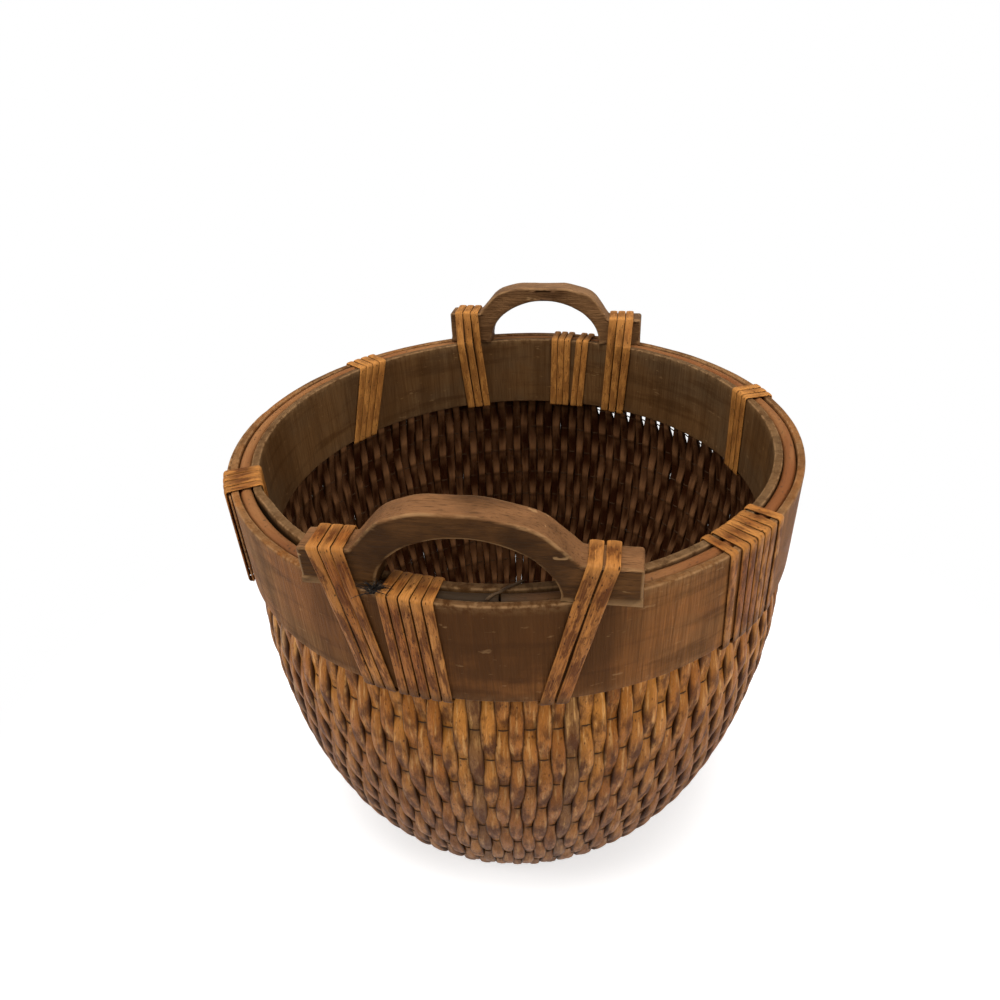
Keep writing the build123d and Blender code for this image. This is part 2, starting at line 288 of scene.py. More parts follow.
class SharedEffects:
    """Node groups that several finishes use, each built once."""

    fibre = Fade(0.3, 0.7)
    patch = Fade(0.35, 0.65)
    scuff = Fade(0.35, 0.6)
    speck = Fade(0.25, 0.5)
    swarm = Fade(0.45, 0.62)
    speck_reach = 0.62
    bend = (0.05, 0.05, 0.05)

    def __init__(self) -> None:
        """Build every group."""
        self.grain = self._grain()
        self.wear = self._wear()
        self.flecks = self._flecks()

    @staticmethod
    def _start(
        name: str, numbers: Iterable[str], outputs: Iterable[str]
    ) -> tuple[Graph, Node, Node]:
        """Start a group that takes coordinates and some numbers.

        Args:
            name: Name of the group.
            numbers: Names of the number inputs.
            outputs: Names of the number outputs.

        Returns:
            The group's graph, its input node and its output node.
        """
        tree = bpy.data.node_groups.new(name, "ShaderNodeTree")
        tree.interface.new_socket("Vector", in_out="INPUT", socket_type="NodeSocketVector")
        for way, labels in (("INPUT", numbers), ("OUTPUT", outputs)):
            for label in labels:
                tree.interface.new_socket(label, in_out=way, socket_type="NodeSocketFloat")
        return Graph(tree), tree.nodes.new("NodeGroupInput"), tree.nodes.new("NodeGroupOutput")

    def _grain(self) -> bpy.types.NodeTree:
        """Wood grain: fine fibres, and broad patches of lighter and darker wood."""
        graph, entry, leave = self._start(
            "wood_grain", ("Fibre Scale", "Patch Scale"), ("Fibre", "Patch")
        )
        vector, broad = entry.outputs["Vector"], entry.outputs["Patch Scale"]
        inputs = {"Vector": vector, "Scale": broad, "Detail": 2.0}
        warp = graph.add("ShaderNodeTexNoise", inputs)
        inputs = {0: warp.outputs["Color"], 1: self.bend, 2: vector}
        bent = graph.add("ShaderNodeVectorMath", inputs, operation="MULTIPLY_ADD")
        fibre = graph.noise(bent.outputs["Vector"], entry.outputs["Fibre Scale"], 6.0)
        graph.feed(leave.inputs["Fibre"], graph.rise(fibre, self.fibre))
        patch = graph.noise(vector, broad, 3.0)
        graph.feed(leave.inputs["Patch"], graph.rise(patch, self.patch))
        return graph.tree

    def _wear(self) -> bpy.types.NodeTree:
        """Edge wear: an edge mask broken up by scuffs."""
        graph, entry, leave = self._start("edge_wear", ("Scale", "Edge", "Amount"), ("Worn",))
        scuff = graph.noise(entry.outputs["Vector"], entry.outputs["Scale"], 6.0)
        broken = graph.times(entry.outputs["Edge"], graph.rise(scuff, self.scuff))
        graph.feed(leave.inputs["Worn"], graph.times(broken, entry.outputs["Amount"]))
        return graph.tree

    def _flecks(self) -> bpy.types.NodeTree:
        """Dark flecks and worm specks scattered over a surface."""
        graph, entry, leave = self._start("dark_flecks", ("Scale", "Density"), ("Fleck",))
        vector, scale = entry.outputs["Vector"], entry.outputs["Scale"]
        cell = graph.add("ShaderNodeTexVoronoi", {"Vector": vector, "Scale": scale})
        near = graph.maths("SUBTRACT", self.speck_reach, cell.outputs["Distance"])
        cloud = graph.noise(vector, scale, 4.0)
        busy = graph.times(graph.rise(cloud, self.swarm), graph.rise(near, self.speck))
        graph.feed(leave.inputs["Fleck"], graph.times(busy, entry.outputs["Density"]))
        return graph.tree


@dataclass(frozen=True)
class Grain:
    """How the shared wood grain lies on a finish, and how deep its fibres are cut, in mm."""

    stretch: Triple
    fibre_scale: float
    patch_scale: float
    depth: float
    attribute: str = ""


@dataclass(frozen=True)
class Flecks:
    """How the shared dark flecks lie on a finish."""

    stretch: Triple
    scale: float
    density: float
    attribute: str


@dataclass(frozen=True)
class Wear:
    """How far the shared edge wear eats into a finish."""

    stretch: Triple
    scale: float
    amount: float


@dataclass(frozen=True)
class Finish:
    """A surface finish that builds its own material."""

    name: str
    effects: SharedEffects
    gloss: float = 0.1
    rough: float = 0.5
    rough_more: float = 0.2
    bump_strength: float = 0.8

    def build(self) -> bpy.types.Material:
        """Make the material.

        Returns:
            A material whose colour, roughness and bump come from nodes.
        """
        material = bpy.data.materials.new(self.name)
        graph = empty_graph(material)
        shader = graph.add("ShaderNodeBsdfPrincipled", {"Specular IOR Level": self.gloss})
        graph.add("ShaderNodeOutputMaterial", {"Surface": shader.outputs["BSDF"]})
        colour, rough = self.dress(graph, shader)
        graph.feed(shader.inputs["Base Color"], colour)
        graph.feed(shader.inputs["Roughness"], rough)
        return material

    def dress(self, graph: Graph, shader: Node) -> Look:
        """Lay out the finish's own nodes.

        Args:
            graph: Graph of the material.
            shader: Shader that takes the finish's bump.

        Returns:
            The colour, and the socket or number that gives the roughness.
        """
        raise NotImplementedError

    def lay_grain(self, graph: Graph, shader: Node, grain: Grain) -> Node:
        """Place the wood grain and let its fibres stand out as a bump."""
        node = graph.group(self.effects.grain, {
            "Vector": graph.place(grain.stretch, grain.attribute),
            "Fibre Scale": grain.fibre_scale, "Patch Scale": grain.patch_scale,
        })
        self.bump(graph, shader, node.outputs["Fibre"], grain.depth)
        return node

    def lay_flecks(
        self, graph: Graph, under: Socket, flecks: Flecks, colour: Colour
    ) -> Socket:
        """Scatter dark flecks over a colour."""
        node = graph.group(self.effects.flecks, {
            "Vector": graph.place(flecks.stretch, flecks.attribute),
            "Scale": flecks.scale, "Density": flecks.density,
        })
        return graph.blend(node.outputs["Fleck"], under, colour)

    def lay_wear(
        self, graph: Graph, under: Socket, wear: Wear, colour: Colour
    ) -> Socket:
        """Rub a colour through to another one along the piece's edges."""
        node = graph.group(self.effects.wear, {
            "Vector": graph.place(wear.stretch), "Scale": wear.scale,
            "Edge": graph.value("edge"), "Amount": wear.amount,
        })
        return graph.blend(node.outputs["Worn"], under, colour)

    def bump(self, graph: Graph, shader: Node, height: object, depth: float) -> None:
        """Give the shader a bump of a real depth in millimetres."""
        inputs = {"Height": height, "Distance": depth * MM, "Strength": self.bump_strength}
        node = graph.add("ShaderNodeBump", inputs)
        graph.feed(shader.inputs["Normal"], node.outputs["Normal"])

    def roughness(self, graph: Graph, cloud: Socket) -> Socket:
        """Roughness that rises with a pattern."""
        more = graph.rise(cloud, Fade(0.3, 0.7, self.rough_more))
        return graph.maths("ADD", more, self.rough)


@dataclass(frozen=True)
class WillowFinish(Finish):
    """Peeled willow rods: golden tan outside, oily dark brown inside.

    The heights at which the rods turn browner, darker and greyer towards the bottom are in
    metres over the floor.
    """

    rough: float = 0.36
    # Pale: colour of the painted glints, streaks of painted highlight on the outer faces.
    pale: Colour = (0.86, 0.46, 0.15)
    straw: Colour = (0.64, 0.255, 0.042)
    tan: Colour = (0.37, 0.118, 0.013)
    brown: Colour = (0.088, 0.025, 0.003)
    rose: Colour = (0.46, 0.170, 0.052)
    grey: Colour = (0.185, 0.092, 0.034)
    # Painted shade in the crevices between the rods and at their pinches.
    crevice_shade: Colour = (0.030, 0.010, 0.003)
    inside_dark: Colour = (0.034, 0.0095, 0.003)
    # Lighter inside colour, for wood patches and for the painted highlight on the inward swells.
    inside_patch_and_highlight: Colour = (0.30, 0.135, 0.055)
    grain: Grain = Grain((1.0, 0.16, 1.0), 900.0, 90.0, 0.25, "weave_place")
    bloom: Coat = Coat(Cloud((1.0, 1.0, 0.7), 14.0, 3.0), Fade(0.45, 0.65, 0.25))
    painted_glints: Coat = Coat(
        Cloud((1.0, 0.10, 1.0), 420.0, 4.0, "weave_place"), Fade(0.50, 0.66, 0.60)
    )
    blots: Coat = Coat(
        Cloud((1.0, 0.40, 1.0), 120.0, 8.0, "weave_place"), Fade(0.54, 0.66, 0.62)
    )
    patches: Cloud = Cloud((1.0, 0.34, 1.0), 150.0, 5.0, "weave_place")
    flecks: Flecks = Flecks((1.0, 0.5, 1.0), 420.0, 0.9, "weave_place")
    straw_share: float = 0.9
    grey_tones: Fade = Fade(0.93, 0.95, 0.75)
    stain_share: float = 0.75
    stain_least: float = 0.10
    stain_edge: Fade = Fade(0.40, 0.62)
    stain_height: Fade = Fade(0.29, 0.17, 0.48)
    brown_height: Fade = Fade(0.29, 0.16, 0.38)
    grey_height: Fade = Fade(0.16, 0.02, 0.40)
    fibre_share: float = 0.38
    inside_patches: Fade = Fade(0.2, 1.0, 0.25)
    crevice_shade_share: float = 0.9
    inside_polish: float = 0.16

    def dress(self, graph: Graph, shader: Node) -> Look:
        """Colour follows each rod, its stains, the painted shade of its crevices and swells, the
        painted highlight inside, and the side it faces.
        """
        grain = self.lay_grain(graph, shader, self.grain)
        patches = graph.cloud(self.patches)
        outside = self._outside(graph, grain, patches)
        # Inside colour lightens with the wood's patches and with the painted highlight on each
        # swell and glint.
        light = graph.rise(grain.outputs["Patch"], self.inside_patches)
        light = graph.maths("ADD", light, graph.value("tip"))
        inside = graph.blend(light, self.inside_dark, self.inside_patch_and_highlight)
        inward = graph.value("inward")
        colour = graph.blend(inward, outside, inside)
        # Painted shade in the crevices, from the shade attribute.
        colour = graph.tint(colour, graph.value("shade"), self.crevice_shade_share, self.crevice_shade)
        polish = graph.times(inward, self.inside_polish)
        return colour, graph.maths("SUBTRACT", self.roughness(graph, patches), polish)

    def _outside(self, graph: Graph, grain: Node, patches: Socket) -> Socket:
        """Colour of the rods' outer faces.

        Args:
            graph: Graph of the material.
            grain: Wood grain of the rods.
            patches: Pattern that the stains follow.

        Returns:
            The colour with its stains, painted shade under the swells, painted glints and
            flecks.
        """
        tone = graph.value("tone")
        body = graph.blend(graph.times(tone, self.straw_share), self.tan, self.straw)
        body = graph.coat(body, self.bloom, self.rose)
        body = graph.blend(graph.rise(tone, self.grey_tones), body, self.grey)
        # Painted highlight: pale glint streaks over the outer faces.
        body = graph.coat(body, self.painted_glints, self.pale)
        axes = graph.add("ShaderNodeSeparateXYZ", {"Vector": graph.place()})
        height = axes.outputs["Z"]
        # Brown stains reach further on the lower half of each swell, partly as painted shade
        # under it, and further towards the bottom.
        reach = graph.times(graph.value("stain"), self.stain_share)
        reach = graph.maths("ADD", reach, graph.rise(height, self.stain_height))
        reach = graph.maths("ADD", reach, self.stain_least)
        stained = graph.times(graph.rise(patches, self.stain_edge), reach)
        body = graph.blend(stained, body, self.brown)
        body = graph.coat(body, self.blots, self.brown)
        body = graph.tint(body, grain.outputs["Fibre"], self.fibre_share, self.brown)
        # Browner, then greyer, towards the bottom.
        body = graph.blend(graph.rise(height, self.brown_height), body, self.brown)
        body = graph.blend(graph.rise(height, self.grey_height), body, self.grey)
        return self.lay_flecks(graph, body, self.flecks, self.brown)


@dataclass(frozen=True)
class TwineFinish(Finish):
    """Old hemp twine, almost black with age."""

    rough: float = 0.85
    dark: Colour = (0.030, 0.014, 0.007)
    light: Colour = (0.085, 0.045, 0.022)
    depth: float = 0.2
    cloud: Cloud = Cloud(EVEN, 700.0, 3.0)

    def dress(self, graph: Graph, shader: Node) -> Look:
        """Colour varies a little along the twine."""
        cloud = graph.cloud(self.cloud)
        self.bump(graph, shader, cloud, self.depth)
        return graph.blend(cloud, self.dark, self.light), self.rough


@dataclass(frozen=True)
class HoopFinish(Finish):
    """Dark bentwood with fine upright grain, water stains, a dark front patch that is partly
    stain and partly painted shade, and pale rubbed edges.
    """

    rough: float = 0.46
    base: Colour = (0.350, 0.128, 0.032)
    dark: Colour = (0.052, 0.019, 0.0045)
    grey: Colour = (0.270, 0.135, 0.052)
    worn: Colour = (0.400, 0.225, 0.100)
    # Dark patch at the front: partly stain, partly painted shade of the front face.
    stain_at: Triple = (0.01, -0.215, 0.335)
    stain_reach: float = 0.125
    stain_core: float = 0.45
    stain_share: float = 0.86
    grain: Grain = Grain((1.0, 1.0, 0.05), 620.0, 30.0, 0.35)
    patch_share: float = 0.55
    fibre_share: float = 0.4
    broad: Cloud = Cloud((0.7, 0.7, 1.0), 17.0, 5.0)
    grey_clouds: Fade = Fade(0.35, 0.7)
    stain_clouds: Fade = Fade(0.15, 0.45)
    bands: Coat = Coat(Cloud((0.25, 0.25, 2.2), 42.0, 4.0), Fade(0.5, 0.68, 0.5))
    saw_marks: Coat = Coat(Cloud((1.0, 1.0, 0.03), 800.0, 2.0), Fade(0.52, 0.62, 0.28))
    scratches: Coat = Coat(Cloud((0.30, 0.30, 1.0), 330.0, 3.0), Fade(0.64, 0.72, 0.28))
    wear: Wear = Wear(EVEN, 210.0, 0.75)

    def dress(self, graph: Graph, shader: Node) -> Look:
        """Upright fibres over broad stains and a dark front patch of stain and painted shade,
        with wear from the edge attribute.
        """
        grain = self.lay_grain(graph, shader, self.grain)
        broad = graph.cloud(self.broad)
        colour = graph.blend(graph.rise(broad, self.grey_clouds), self.base, self.grey)
        for part, share in (("Patch", self.patch_share), ("Fibre", self.fibre_share)):
            colour = graph.tint(colour, grain.outputs[part], share, self.dark)
        # Stain and painted shade: darken round a place at the front.
        inputs = {0: graph.add("ShaderNodeTexCoord").outputs["Object"], 1: self.stain_at}
        away = graph.add("ShaderNodeVectorMath", inputs, operation="DISTANCE")
        core = Fade(self.stain_reach, self.stain_reach * self.stain_core, self.stain_share)
        near = graph.rise(away.outputs["Value"], core)
        near = graph.times(near, graph.rise(broad, self.stain_clouds))
        colour = graph.blend(near, colour, self.dark)
        colour = graph.coat(colour, self.bands, self.dark)
        colour = graph.coat(colour, self.saw_marks, self.dark)
        colour = graph.coat(colour, self.scratches, self.worn)
        colour = self.lay_wear(graph, colour, self.wear, self.worn)
        return colour, self.roughness(graph, broad)


@dataclass(frozen=True)
class HandleFinish(Finish):
    """Carved hardwood: dark brown, rubbed lighter along the top and the edges."""

    rough: float = 0.42
    rough_more: float = 0.22
    base: Colour = (0.125, 0.052, 0.015)
    dark: Colour = (0.034, 0.0135, 0.0035)
    dusty: Colour = (0.250, 0.112, 0.044)
    worn: Colour = (0.420, 0.235, 0.100)
    grain: Grain = Grain((0.09, 1.0, 1.0), 520.0, 34.0, 0.5)
    fibre_share: float = 0.5
    broad: Cloud = Cloud((0.6, 1.0, 1.0), 30.0, 5.0)
    base_clouds: Fade = Fade(0.35, 0.68)
    dust_clouds: Fade = Fade(0.2, 0.65)
    dust_share: float = 0.85
    pores: Coat = Coat(Cloud((0.12, 1.0, 1.0), 900.0, 4.0), Fade(0.52, 0.66, 0.6))
    wear: Wear = Wear((0.5, 1.0, 1.0), 90.0, 0.7)
    chips: Coat = Coat(Cloud((0.35, 1.0, 1.0), 170.0, 2.0), Fade(0.69, 0.73, 0.6))

    def dress(self, graph: Graph, shader: Node) -> Look:
        """Grain runs along the handle, and hands have rubbed its top and edges."""
        grain = self.lay_grain(graph, shader, self.grain)
        broad = graph.cloud(self.broad)
        colour = graph.blend(graph.rise(broad, self.base_clouds), self.dark, self.base)
        colour = graph.tint(colour, grain.outputs["Fibre"], self.fibre_share, self.dark)
        upward = graph.times(graph.value("upward"), graph.rise(broad, self.dust_clouds))
        colour = graph.tint(colour, upward, self.dust_share, self.dusty)
        colour = graph.coat(colour, self.pores, self.dark)
        colour = self.lay_wear(graph, colour, self.wear, self.worn)
        colour = graph.coat(colour, self.chips, self.worn)
        return colour, self.roughness(graph, broad)


@dataclass(frozen=True)
class RimRodFinish(Finish):
    """Peeled rod between the hoops: reddish tan, darkened by painted shadow under the front
    handle.
    """

    base: Colour = (0.300, 0.130, 0.044)
    red: Colour = (0.200, 0.068, 0.020)
    # Dark brown of the flecks, and of the painted shadow under the front handle.
    dark: Colour = (0.036, 0.020, 0.009)
    grain: Grain = Grain((0.12, 1.0, 1.0), 500.0, 60.0, 0.2, "rod_place")
    fibre_share: float = 0.3
    flecks: Flecks = Flecks(EVEN, 300.0, 0.7, "rod_place")

    def dress(self, graph: Graph, shader: Node) -> Look:
        """Colour varies round the rim, and painted shadow darkens it under the front handle."""
        grain = self.lay_grain(graph, shader, self.grain)
        colour = graph.blend(grain.outputs["Patch"], self.base, self.red)
        colour = graph.tint(colour, grain.outputs["Fibre"], self.fibre_share, self.red)
        colour = self.lay_flecks(graph, colour, self.flecks, self.dark)
        # Painted shadow darkens the rod under the front handle.
        return graph.blend(graph.value("grimy"), colour, self.dark), self.rough


@dataclass(frozen=True)
class CaneFinish(Finish):
    """Split cane strips: orange tan with brown patches, fine threads and dark flecks."""

    rough: float = 0.38
    pale: Colour = (0.54, 0.225, 0.052)
    tan: Colour = (0.30, 0.090, 0.013)
    brown: Colour = (0.080, 0.020, 0.003)
    # Near-black of the flecks, and of the painted shade where the strips enter the weave.
    fleck_and_shade: Colour = (0.024, 0.007, 0.002)
    grain: Grain = Grain((1.0, 0.13, 1.0), 700.0, 80.0, 0.25, "strip_place")
    fibre_share: float = 0.42
    patches: Cloud = Cloud((1.0, 0.28, 1.0), 190.0, 6.0, "strip_place")
    patch_fade: Fade = Fade(0.44, 0.56, 0.80)
    threads: Cloud = Cloud((1.0, 0.045, 1.0), 1300.0, 3.0, "strip_place")
    dark_threads: Fade = Fade(0.50, 0.62, 0.55)
    pale_threads: Fade = Fade(0.44, 0.34, 0.45)
    flecks: Flecks = Flecks((1.0, 0.55, 1.0), 560.0, 1.0, "strip_place")

    def dress(self, graph: Graph, shader: Node) -> Look:
        """Each strip has its own tone, pale edges and bends, and flecks along it, with painted
        light on the back lashings and painted shade where it enters the weave.
        """
        grain = self.lay_grain(graph, shader, self.grain)
        colour = graph.blend(graph.value("tone"), self.tan, self.pale)
        patches = graph.cloud(self.patches)
        colour = graph.blend(graph.rise(patches, self.patch_fade), colour, self.brown)
        threads = graph.cloud(self.threads)
        colour = graph.blend(graph.rise(threads, self.dark_threads), colour, self.brown)
        colour = graph.blend(graph.rise(threads, self.pale_threads), colour, self.pale)
        colour = graph.tint(colour, grain.outputs["Fibre"], self.fibre_share, self.brown)
        # Pale where rubbed at bends and edges, and where painted light lifts the back lashings.
        colour = graph.blend(graph.value("rubbed"), colour, self.pale)
        colour = self.lay_flecks(graph, colour, self.flecks, self.fleck_and_shade)
        # Painted shade where the strip runs down into the weave.
        colour = graph.blend(graph.value("shade"), colour, self.fleck_and_shade)
        return colour, self.roughness(graph, patches)


@dataclass(frozen=True)
class FibreFinish(Finish):
    """Loose dark plant fibre."""

    rough: float = 0.8
    dark: Colour = (0.016, 0.012, 0.010)
    light: Colour = (0.11, 0.085, 0.06)
    lengths: Coat = Coat(Cloud(EVEN, 500.0, 2.0), Fade(0.55, 0.7))

    def dress(self, graph: Graph, shader: Node) -> Look:
        """Mostly black, with a few pale lengths."""
        return graph.coat(self.dark, self.lengths, self.light), self.rough


def hang(name: str, data: bpy.types.ID, place: Triple = (0.0, 0.0, 0.0),
         turn: Matrix | None = None) -> bpy.types.Object:
    """Link an object into the scene at a place.

    Args:
        name: Name of the object.
        data: Mesh, lamp or camera that it shows.
        place: Where it goes.
        turn: How it is turned, or nothing to leave it straight.

    Returns:
        The linked object.
    """
    item = bpy.data.objects.new(name, data)
    if turn is not None:
        item.matrix_world = Matrix.Translation(place) @ turn.to_4x4()
    bpy.context.scene.collection.objects.link(item)
    return item


def keep_mesh(bm: bmesh.types.BMesh, name: str) -> bpy.types.Mesh:
    """Mesh of its own made from a bmesh, which is used up."""
    mesh = bpy.data.meshes.new(name)
    bm.to_mesh(mesh)
    bm.free()
    return mesh


def tube_template(sides: int, stations: int, capped: bool = True) -> bpy.types.Mesh:
    """Straight tube of unit radius whose z is the station's number.

    Args:
        sides: Number of sides of the section.
        stations: Number of rings along the tube.
        capped: Whether the two ends are closed.

    Returns:
        A mesh that the pieces copy and bend to their own paths.
    """
    bm = bmesh.new()
    ring = bmesh.ops.create_circle(bm, segments=sides, radius=1.0)["verts"]
    edges = list({edge for vert in ring for edge in vert.link_edges})
    first = list(edges)
    for _ in range(stations - 1):
        made = bmesh.ops.extrude_edge_only(bm, edges=edges)["geom"]
        verts = [item for item in made if isinstance(item, Vert)]
        edges = [item for item in made if isinstance(item, Edge)]
        bmesh.ops.translate(bm, verts=verts, vec=(0.0, 0.0, 1.0))
    if capped:
        bmesh.ops.holes_fill(bm, edges=first + edges, sides=sides)
    bmesh.ops.recalc_face_normals(bm, faces=bm.faces)
    return keep_mesh(bm, "tube_template")


class MeshMaker:
    """Collects bent copies of templates in one bmesh, with the attributes of a finish."""

    def __init__(self, numbers: Iterable[str], places: Iterable[str] = ()) -> None:
        """Start an empty mesh.

        Args:
            numbers: Names of the number attributes.
            places: Names of the vector attributes.
        """
        self.bm = bmesh.new()
        self.numbers = {name: self.bm.verts.layers.float.new(name) for name in numbers}
        self.places = {name: self.bm.verts.layers.float_vector.new(name) for name in places}

    def mark(self, vert: Vert, **values: float) -> None:
        """Set some of a vertex's number attributes."""
        for name, value in values.items():
            vert[self.numbers[name]] = value

    def spot(self, vert: Vert, name: str, across: float, along: float) -> None:
        """Set where a finish finds a vertex on its strip or rod, from millimetres."""
        vert[self.places[name]] = Vector((across, along, 0.0)) * MM

    def copy(self, template: bpy.types.Mesh) -> list[Vert]:
        """Add a copy of a template.

        Args:
            template: Mesh to copy.

        Returns:
            The vertices of the copy.
        """
        count = len(self.bm.verts)
        self.bm.from_mesh(template)
        self.bm.verts.ensure_lookup_table()
        return self.bm.verts[count:]

    def tube(self, sides: int, stations: int, capped: bool = True) -> list[Vert]:
        """Add one straight tube.

        Args:
            sides: Number of sides of the section.
            stations: Number of rings along the tube.
            capped: Whether the two ends are closed.

        Returns:
            The vertices of the tube, ready to bend.
        """
        template = tube_template(sides, stations, capped)
        verts = self.copy(template)
        bpy.data.meshes.remove(template)
        return verts

    def finish(self, name: str, material: bpy.types.Material, slot: Slot,
               *nodes: str) -> None:
        """Turn the collected mesh into a piece that rides on the basket.

        Args:
            name: Name of the piece.
            material: Its material.
            slot: Material slot of the record that it takes its finish from. Not used.
            *nodes: CAD nodes that it stands for.
        """
        bmesh.ops.recalc_face_normals(self.bm, faces=self.bm.faces)
        bmesh.ops.scale(self.bm, vec=(MM, MM, MM), verts=self.bm.verts)
        mesh = keep_mesh(self.bm, name)
        mesh.polygons.foreach_set("use_smooth", [True] * len(mesh.polygons))
        mesh.materials.append(material)
        piece = hang(name, mesh)
        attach(piece, "root")
        if nodes:
            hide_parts(*nodes)
        log.info("%s: %d faces", name, len(mesh.polygons))


@dataclass
class WallProfile:
    """Middle line of the woven wall, from under the rim down to the centre of the foot."""

    top_radius: float = 204.75
    top_high: float = 352.0
    neck_radius: float = 205.6
    neck_high: float = 292.0
    belly_radius: float = 210.0
    belly_high: float = 250.0
    foot_radius: float = 104.0
    foot_high: float = 4.4
    centre_radius: float = 0.6
    curve_steps: int = 180
    lean: float = -6.0
    line: list[Vector] = field(init=False)

    def __post_init__(self) -> None:
        """Lay points along the line, one for each millimetre of its length."""
        rough = [Vector((self.top_radius, self.top_high)),
                 Vector((self.neck_radius, self.neck_high))]
        wide, deep = self.belly_radius - self.foot_radius, self.belly_high - self.foot_high
        for step in range(self.curve_steps + 1):
            angle = math.radians(90.0 * step / self.curve_steps)
            rough.append(Vector((self.foot_radius + wide * math.cos(angle),
                                 self.belly_high - deep * math.sin(angle))))
        rough.append(Vector((self.centre_radius, self.foot_high)))
        self.line = [rough[0]]
        spare = 0.0
        for start, end in zip(rough, rough[1:]):
            length = (end - start).length
            while spare + 1.0 <= length:
                spare += 1.0
                self.line.append(start.lerp(end, spare / length))
            spare -= length

    @property
    def length(self) -> float:
        """Length of the line."""
        return float(len(self.line) - 1)

    def at(self, run: float) -> tuple[Vector, Vector]:
        """Find a place on the line.

        Args:
            run: Length from the top.

        Returns:
            Radius and height of the place, and the outward normal there.
        """
        first = min(max(int(run), 1), len(self.line) - 3)
        place = self.line[first].lerp(self.line[first + 1], run - first)
        way = self.line[first + 2] - self.line[first - 1]
        return place, Vector((-way.y, way.x)).normalized()

    def put(self, radius: float, bearing: float, height: float) -> Vector:
        """Point of the wall, moved as far to the left as the bowl leans at its height."""
        place = polar(radius, bearing, height)
        place.x += self.lean * smooth_step(self.neck_high, 0.0, height)
        return place

    def run_to(self, radius: float) -> float:
        """Length from the top to where the foot's radius has shrunk to a value."""
        return float(max(run for run, place in enumerate(self.line) if place.x >= radius))


class RodKind(Enum):
    """How far down a rod runs before its neighbours close over its end."""

    SHORT = "short"
    MIDDLE = "middle"
    LONG = "long"


@dataclass
class Rod:
    """One upright willow rod of the weave, pinched wherever the twine passes outside it."""

    number: int
    step: float
    tone: float
    girth: float
    lift: float
    slit_up: float = 0.0
    slit_down: float = 0.0

    @property
    def kind(self) -> RodKind:
        """How far down this rod runs."""
        if self.number % 2:
            return RodKind.SHORT
        return RodKind.MIDDLE if self.number % 4 else RodKind.LONG

    @property
    def bearing(self) -> float:
        """Bearing of the rod's middle."""
        return (self.number + 0.5) * self.step

    @property
    def odd_long(self) -> bool:
        """Whether this is every other one of the long rods."""
        return self.number % 8 == 4


